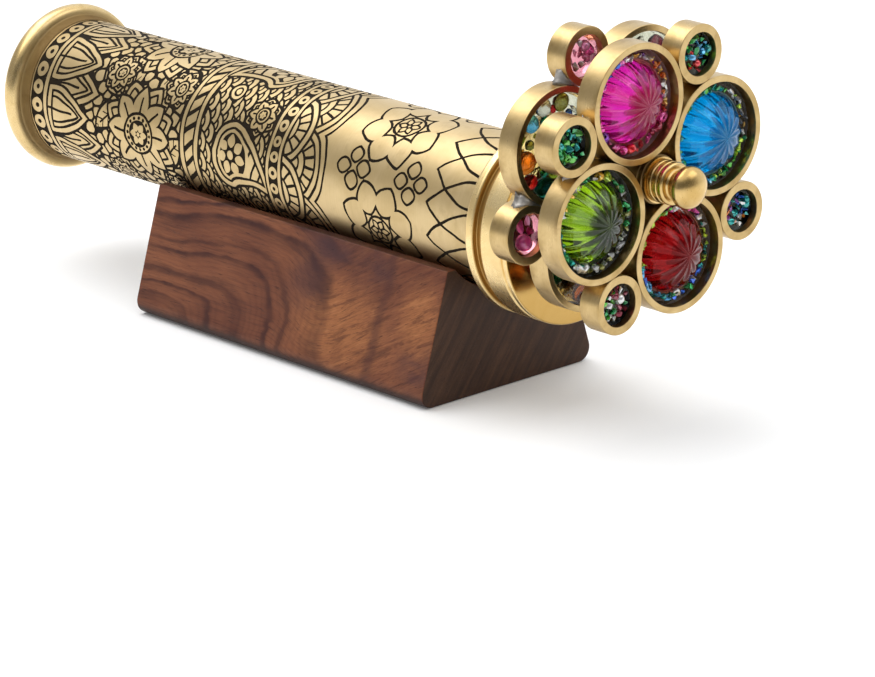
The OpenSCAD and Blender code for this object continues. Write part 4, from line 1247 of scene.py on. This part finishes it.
for wheel, plane, small in (("front", FRONT, FRONT_SMALL), ("rear", REAR, REAR_SMALL)):
    parts = []
    for k, a in small.items():
        v, f, n = spun(rounded([(-6.2, 0.0, 0), (-6.2, SMALL_RI - 0.03, 0.1), (-1.9, SMALL_RI - 0.03, 0.02), (-2.45, SMALL_RI - 0.9, 0.7), (-2.4, 0.0, 0)], False), 56, False)
        parts.append((v + np.array(cell_at(plane, a, SMALL_C)) - (plane, 0, AXLE_Z), f, n))
    v, f, n = joined(parts)
    make(wheel + "_small_resin_poured", v, f, M_RESIN_PINK if wheel == "rear" else M_SHADE_RESIN, wheel + "_wheel", wheel + "_small_resin", normals=n, origin=(plane, 0, AXLE_Z))


# ---------------------------------------------------------------- beads and chips of glass
HUE = {
    "teal": (0.01, 0.36, 0.34), "emerald": (0.01, 0.34, 0.09), "green": (0.10, 0.52, 0.05), "lime": (0.48, 0.68, 0.05),
    "gold": (0.80, 0.46, 0.07), "orange": (0.84, 0.22, 0.02), "red": (0.60, 0.012, 0.02), "wine": (0.26, 0.01, 0.04),
    "purple": (0.20, 0.03, 0.34), "pink": (0.86, 0.10, 0.40), "blue": (0.02, 0.13, 0.66), "sky": (0.10, 0.46, 0.82),
    "rose": (0.93, 0.36, 0.58), "clear": (0.92, 0.93, 0.92), "smoke": (0.30, 0.30, 0.30), "olive": (0.26, 0.26, 0.05), "amber": (0.62, 0.26, 0.03),
}


def turn_of(rng):
    q = rng.normal(size=4)
    w, x, y, z = q / np.linalg.norm(q)
    return np.array(((1 - 2 * (y * y + z * z), 2 * (x * y - z * w), 2 * (x * z + y * w)), (2 * (x * y + z * w), 1 - 2 * (x * x + z * z), 2 * (y * z - x * w)), (2 * (x * z - y * w), 2 * (y * z + x * w), 1 - 2 * (x * x + y * y))))


def seed_bead(rng, r):
    """A short piece of glass cane with a hole, fire-rounded."""
    w = r * rng.uniform(1.0, 1.35)
    v, f, n = spun(rounded([(-w / 2, r * 0.36, 0.1 * r), (-w / 2, r, 0.42 * r), (w / 2, r, 0.42 * r), (w / 2, r * 0.36, 0.1 * r)], True, 3), 18)
    return v, f, True


def ball_bead(rng, r):
    t = np.linspace(-math.pi / 2, math.pi / 2, 17)
    prof = [(math.sin(q) * r * 0.94, max(math.cos(q), 0.0) * r if 0 < i < 16 else 0.0, math.sin(q), math.cos(q)) for i, q in enumerate(t)]
    v, f, n = spun(prof, 28, False)
    a, b = rng.normal(size=(2, 3)), rng.uniform(0, 6.28, 2)
    lump = np.sin(v @ a[0] * 1.3 / r + b[0]) * 0.035 + np.sin(v @ a[1] * 1.9 / r + b[1]) * 0.025
    return v * (0.95 + lump)[:, None], f, True


def shard(rng, r):
    """A chip of broken glass: the hull of a few scattered points."""
    q = rng.normal(size=(9, 3))
    q = q / np.linalg.norm(q, axis=1)[:, None] * r * np.array((0.62, 1.15, 0.85)) * rng.uniform(0.75, 1.0, (9, 1))
    bm = bmesh.new()
    for p in q:
        bm.verts.new(p)
    bmesh.ops.convex_hull(bm, input=bm.verts)
    loose = [p for p in bm.verts if not p.link_faces]
    bmesh.ops.delete(bm, geom=loose, context="VERTS")
    bmesh.ops.bevel(bm, geom=list(bm.edges), offset=0.06 * r, segments=1, affect="EDGES")
    bmesh.ops.recalc_face_normals(bm, faces=bm.faces)
    bm.verts.index_update()
    v = np.array([tuple(p.co) for p in bm.verts])
    f = [tuple(p.index for p in g.verts) for g in bm.faces]
    bm.free()
    return v, f, False


def bead_set(name, node, body, cells, seed, mat):
    """cells: (centre, [(kind, colour, y, z, depth, size), ...])"""
    rng = np.random.default_rng(seed)
    V, F, smooth, col, at = [], [], [], [], 0
    origin = np.array((cells[0][0][0], 0.0, AXLE_Z))
    for centre, items in cells:
        for kind, colour, y, z, depth, size in items:
            v, f, sm = {"seed": seed_bead, "ball": ball_bead, "chip": shard}[kind](rng, size)
            v = v @ turn_of(rng).T
            v = v + np.array(centre) - origin + (depth, y, z)
            V.append(v)
            F += [tuple(q + at for q in g) for g in f]
            smooth += [sm] * len(f)
            tone = np.clip(np.array(HUE[colour]) * rng.uniform(0.8, 1.5), 0, 1)
            col += [(*tone, 1.0)] * len(v)
            at += len(v)
    ob = make(name, np.vstack(V), F, mat, body, node, origin=tuple(origin))
    ob.data.polygons.foreach_set("use_smooth", np.array(smooth))
    layer = ob.data.color_attributes.new("bead_colour", "FLOAT_COLOR", "POINT")
    layer.data.foreach_set("color", np.array(col, np.float32).ravel())


def rim_items(rng, sectors, n=76):
    """Chips in the gutter, close round a dome. sectors: colours by angle round the cell."""
    out = []
    for k in range(n):
        deg = 360.0 * (k + rng.uniform(-0.35, 0.35)) / n
        a = math.radians(deg)
        size = rng.uniform(0.7, 1.5)
        c = rng.uniform(9.75 + size * 0.8, max(12.0 - size * 0.5, 9.8 + size * 0.8))
        hues = min(sectors, key=lambda q: abs((q[0] - deg + 180) % 360 - 180))[1]
        kind = "seed" if rng.uniform() < 0.10 else "chip"
        out.append((kind, hues[rng.integers(len(hues))], c * math.cos(a), c * math.sin(a), rng.uniform(-3.2, -1.9), size))
    return out


def heap_items(rng, large, hues, n):
    """Large beads laid along a cell's wall, (kind, colour, angle, size), with chips in between."""
    out = []
    for kind, colour, deg, size in large:
        a, c = math.radians(deg), 12.85 - size * (1.0 if kind == "ball" else 1.12)
        out.append((kind, colour, c * math.cos(a), c * math.sin(a), -3.15 + rng.uniform(-0.1, 0.2), size))
    tries = 0
    while len(out) < n + len(large) and tries < 9000:
        tries += 1
        size = rng.uniform(1.0, 2.3)
        a, c = rng.uniform(0, 2 * math.pi), (12.7 - size * 1.12) * math.sqrt(rng.uniform())
        y, z, depth = c * math.cos(a), c * math.sin(a), rng.uniform(1.18 * size - 6.1, -0.5 - 1.1 * size)
        if any(math.hypot(y - o[2], z - o[3], depth - o[4]) < 0.8 * (size + o[5]) for o in out):
            continue
        kind = "ball" if rng.uniform() < 0.3 else "chip"
        out.append((kind, hues[rng.integers(len(hues))], y, z, depth, size))
    return out


def floor_items(rng, hues, radius, n, r0, r1, low, top):
    """Chips and a few beads heaped in a cell."""
    out = []
    tries = 0
    while len(out) < n and tries < 6000:
        tries += 1
        size = rng.uniform(r0, r1)
        a, c = rng.uniform(0, 2 * math.pi), (radius - size * 1.1) * math.sqrt(rng.uniform())
        y, z, depth = c * math.cos(a), c * math.sin(a), rng.uniform(max(low, 1.18 * size - 6.1), top - size)
        if any(math.hypot(y - o[2], z - o[3], depth - o[4]) < 0.56 * (size + o[5]) for o in out):
            continue
        kind = "seed" if rng.uniform() < 0.12 else "ball" if rng.uniform() < 0.08 else "chip"
        out.append((kind, hues[rng.integers(len(hues))], y, z, depth, size))
    return out


rng = np.random.default_rng(5)
front_hues = {
    "pink": ((135, ("purple", "blue", "pink")), (80, ("gold", "clear", "purple")), (20, ("orange", "gold", "red", "clear")), (-60, ("wine", "red", "pink")), (-150, ("pink", "purple"))),
    "blue": ((100, ("emerald", "teal", "green")), (20, ("clear", "lime", "gold", "smoke")), (-50, ("green", "emerald", "lime")), (-120, ("teal", "emerald", "sky"))),
    "red": ((130, ("green", "gold", "lime")), (65, ("clear", "pink", "purple", "clear")), (0, ("green", "teal", "lime", "clear")), (-70, ("emerald", "clear", "blue")), (-120, ("sky", "blue", "teal"))),
    "green": ((110, ("lime", "gold", "emerald", "clear")), (20, ("smoke", "emerald", "olive")), (-70, ("smoke", "clear", "olive")), (-140, ("teal", "emerald", "clear"))),
}
bead_set("front_beads_set", "front_beads", "front_wheel", [(cell_at(FRONT, a, RING_C), rim_items(rng, front_hues[k])) for k, a in FRONT_LARGE.items()], 21, M_SPARK)
rear_hues = {"left": ("blue", "lime", "orange", "red", "teal", "olive"), "top": ("pink", "gold", "olive", "clear"), "right": ("purple", "orange", "gold", "teal"), "bottom": ("teal", "green", "smoke", "orange", "red")}
rear_large = {
    "left": (("ball", "sky", 140, 2.5), ("chip", "lime", 163, 1.9), ("chip", "amber", 177, 1.6), ("ball", "orange", 194, 3.0), ("ball", "red", 222, 2.1), ("ball", "teal", 249, 2.9), ("ball", "amber", 283, 2.6), ("chip", "purple", 315, 2.3), ("ball", "gold", 344, 2.7), ("ball", "emerald", 15, 2.5), ("chip", "clear", 48, 2.3), ("ball", "olive", 80, 2.6), ("ball", "clear", 111, 2.4)),
    "top": (("ball", "red", 152, 2.5), ("chip", "clear", 180, 2.2), ("ball", "olive", 207, 2.7), ("chip", "pink", 235, 2.2), ("ball", "gold", 262, 2.7), ("ball", "lime", 295, 2.5), ("ball", "olive", 325, 2.8), ("chip", "gold", 355, 2.3), ("ball", "pink", 24, 2.6), ("ball", "wine", 56, 2.7), ("chip", "clear", 88, 2.3), ("ball", "amber", 119, 2.6)),
    "right": (("ball", "purple", 10, 2.8), ("chip", "orange", 42, 2.3), ("ball", "gold", 72, 2.6), ("ball", "teal", 103, 2.7), ("ball", "pink", 134, 2.4), ("chip", "sky", 163, 2.3), ("ball", "orange", 193, 2.8), ("ball", "red", 225, 2.5), ("ball", "blue", 256, 2.7), ("chip", "lime", 288, 2.4), ("ball", "gold", 318, 2.5), ("ball", "teal", 345, 2.0)),
    "bottom": (("ball", "teal", 172, 2.8), ("ball", "emerald", 203, 2.6), ("chip", "smoke", 232, 2.3), ("ball", "orange", 262, 2.7), ("ball", "red", 293, 2.4), ("chip", "green", 322, 2.3), ("ball", "teal", 352, 2.7), ("ball", "gold", 23, 2.6), ("ball", "blue", 54, 2.5), ("chip", "clear", 84, 2.3), ("ball", "emerald", 114, 2.7), ("ball", "lime", 143, 2.1)),
}
bead_set("rear_beads_set", "rear_beads", "rear_wheel", [(cell_at(REAR, a, RING_C), heap_items(rng, rear_large[k], rear_hues[k], 30)) for k, a in REAR_LARGE.items()], 22, M_BEAD)
small_front = {"top": ("red", "green", "teal", "sky", "emerald"), "right": ("purple", "orange", "blue", "teal", "clear"), "bottom": ("green", "emerald", "wine", "clear"), "left": ("emerald", "emerald", "green", "teal")}
bead_set("front_small_beads_set", "front_small_beads", "front_wheel", [(cell_at(FRONT, a, SMALL_C), floor_items(rng, small_front[k], 5.15, 44, 1.0, 1.9, -3.5, -0.4)) for k, a in FRONT_SMALL.items()], 23, M_SPARK)
small_heap = {"left": [("chip", "pink", -1.3, 2.3, -2.3, 2.4), ("ball", "pink", 0.1, -2.3, -2.3, 2.4), ("chip", "rose", 1.7, 2.2, -2.7, 2.2), ("chip", "pink", 3.0, -0.3, -3.4, 1.7), ("chip", "pink", -3.1, -0.9, -3.5, 1.5)]}
small_rear = {"top": ("pink", "rose", "rose", "clear"), "right": ("red", "orange", "clear"), "bottom": ("teal", "amber", "clear"), "left": ("pink", "pink", "clear")}
bead_set("rear_small_beads_set", "rear_small_beads", "rear_wheel", [(cell_at(REAR, a, SMALL_C), small_heap[k] if k in small_heap else floor_items(rng, small_rear[k], 5.1, 12, 1.4, 2.2, -4.0, -0.9)) for k, a in REAR_SMALL.items()], 24, M_GLINT)


# ---------------------------------------------------------------- solder in the notches between rings
def solder_set(wheel, plane, small, seed, big=()):
    rng = np.random.default_rng(seed)
    parts = []
    for key, a in small.items():
        t = math.radians(a)
        er, et = np.array((math.cos(t), math.sin(t))), np.array((-math.sin(t), math.cos(t)))
        for s in (-1, 1):
            cs, cl = er * SMALL_C, er * PITCH_C / 2 + et * s * PITCH_C / 2
            v = (cl - cs) / np.linalg.norm(cl - cs)
            u = np.array((v[1], -v[0]))
            if u @ er < 0:
                u = -u
            m = cs + v * SMALL_R
            nx, rows = 11, []
            for i in range(nx):
                f = i / (nx - 1)
                swell = math.sin(math.pi * f) ** 0.6
                wide = (key, s) in big
                reach = 1.3 + (4.4 if wide else 2.1) * swell + rng.uniform(-0.25, 0.25)
                x = -RING_LEN + 0.6 + (6.2 if wide else 3.8) * f
                line = []
                for p in np.linspace(0.25, reach, 7):
                    line.append(m + u * p - v * (SMALL_R - math.sqrt(SMALL_R ** 2 - p * p) + 0.02))
                end0 = line[-1]
                other = [m + u * p + v * (RING_R - math.sqrt(RING_R ** 2 - p * p) + 0.02) for p in np.linspace(reach * rng.uniform(0.9, 1.1), 0.25, 7)]
                end1 = other[0]
                for q in (0.25, 0.5, 0.75):
                    sag = 0.5 * math.sin(math.pi * q) * swell
                    line.append(end0 * (1 - q) + end1 * q - u * sag)
                line += other
                rows.append(np.c_[np.full(len(line), x), np.array(line)])
            n = len(rows[0])
            V = np.vstack(rows)
            F = []
            for i in range(nx - 1):
                for j in range(n):
                    k = (j + 1) % n
                    F.append((i * n + j, (i + 1) * n + j, (i + 1) * n + k, i * n + k))
            F += [tuple(range(n)), tuple((nx - 1) * n + j for j in range(n))[::-1]]
            parts.append((V, F, V))
    V, F, _ = joined(parts)
    ob = make(wheel + "_solder_lumps", V, F, M_SOLDER, wheel + "_wheel", wheel + "_solder", origin=(plane, 0, AXLE_Z))
    bm = bmesh.new()
    bm.from_mesh(ob.data)
    bmesh.ops.recalc_face_normals(bm, faces=bm.faces)
    bm.to_mesh(ob.data)
    bm.free()


solder_set("front", FRONT, FRONT_SMALL, 31)
solder_set("rear", REAR, REAR_SMALL, 32, (("left", -1), ("top", 1)))

# ---------------------------------------------------------------- pieces that keep their CAD shape
KEPT = {"eye_lens": M_WINDOW, "lens_retainer": M_TURNED, "mirror_mask_rear": M_MASK, "mirror_left": M_MIRROR, "mirror_right": M_MIRROR, "mirror_base": M_MIRROR, "mirror_mask_front": M_MASK, "front_window": M_WINDOW, "axle": M_HUB, "rear_washer": M_HUB, "middle_washer": M_HUB, "front_washer": M_TURNED}
for node, mat in KEPT.items():
    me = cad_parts[node].data
    me.materials.clear()
    me.materials.append(mat)

# ---------------------------------------------------------------- floor and light
floor_mat = Mat("paper_white")
q = floor_mat.noise(floor_mat.coords(), 60.0, 4.0)
floor_mat.set(Base_Color=floor_mat.mix(q, (0.90, 0.90, 0.90), (0.92, 0.92, 0.915)), Roughness=floor_mat.spread(q, 0.2, 0.8, 0.75, 0.95), Specular_IOR_Level=0.2, Emission_Color=(1.0, 1.0, 1.0), Emission_Strength=0.06)
me = bpy.data.meshes.new("floor")
half = 4.0
me.from_pydata([(-half, -half, -0.00015), (half, -half, -0.00015), (half, half, -0.00015), (-half, half, -0.00015)], [], [(0, 1, 2, 3)])
me.materials.append(floor_mat.m)
floor = bpy.data.objects.new("floor", me)
bpy.context.scene.collection.objects.link(floor)

world = bpy.data.worlds.new("studio")
bpy.context.scene.world = world
world.use_nodes = True
W = Mat.__new__(Mat)
W.t = world.node_tree
bg = W.t.nodes["Background"]
d = W.node("TexCoord").outputs["Generated"]
to_front = W.vmath("DOT_PRODUCT", d, (0.737, -0.676, 0.0))
to_left = W.vmath("DOT_PRODUCT", d, (-0.676, -0.737, 0.0))
dx, dy, dz = W.split(d)
shade = W.mix(W.spread(to_front, -0.3, 0.6), (1.02, 1.04, 1.07), (0.16, 0.16, 0.16))
shade = W.mix(W.spread(to_left, 0.45, 0.95), shade, (0.40, 0.40, 0.41))
shade = W.mix(W.spread(dz, 0.45, 0.85), shade, (1.30, 1.31, 1.33))
W.put(bg.inputs["Color"], shade)
bg.inputs["Strength"].default_value = 1.0


def softbox(name, at, aim, w, h, power):
    light = bpy.data.lights.new(name, "AREA")
    light.shape = "RECTANGLE"
    light.size, light.size_y = w, h
    light.energy = power
    ob = bpy.data.objects.new(name, light)
    bpy.context.scene.collection.objects.link(ob)
    ob.location = at
    ob.rotation_euler = (Vector(aim) - Vector(at)).to_track_quat("-Z", "Y").to_euler()


softbox("key", (-0.40, -0.22, 1.15), (0.0, 0.0, 0.05), 1.3, 1.1, 9.0)
softbox("fill", (0.9, 0.6, 1.0), (0.05, 0.0, 0.05), 0.9, 0.7, 2.5)

scene = bpy.context.scene
scene.view_settings.view_transform = "Standard"
scene.view_settings.look = "None"
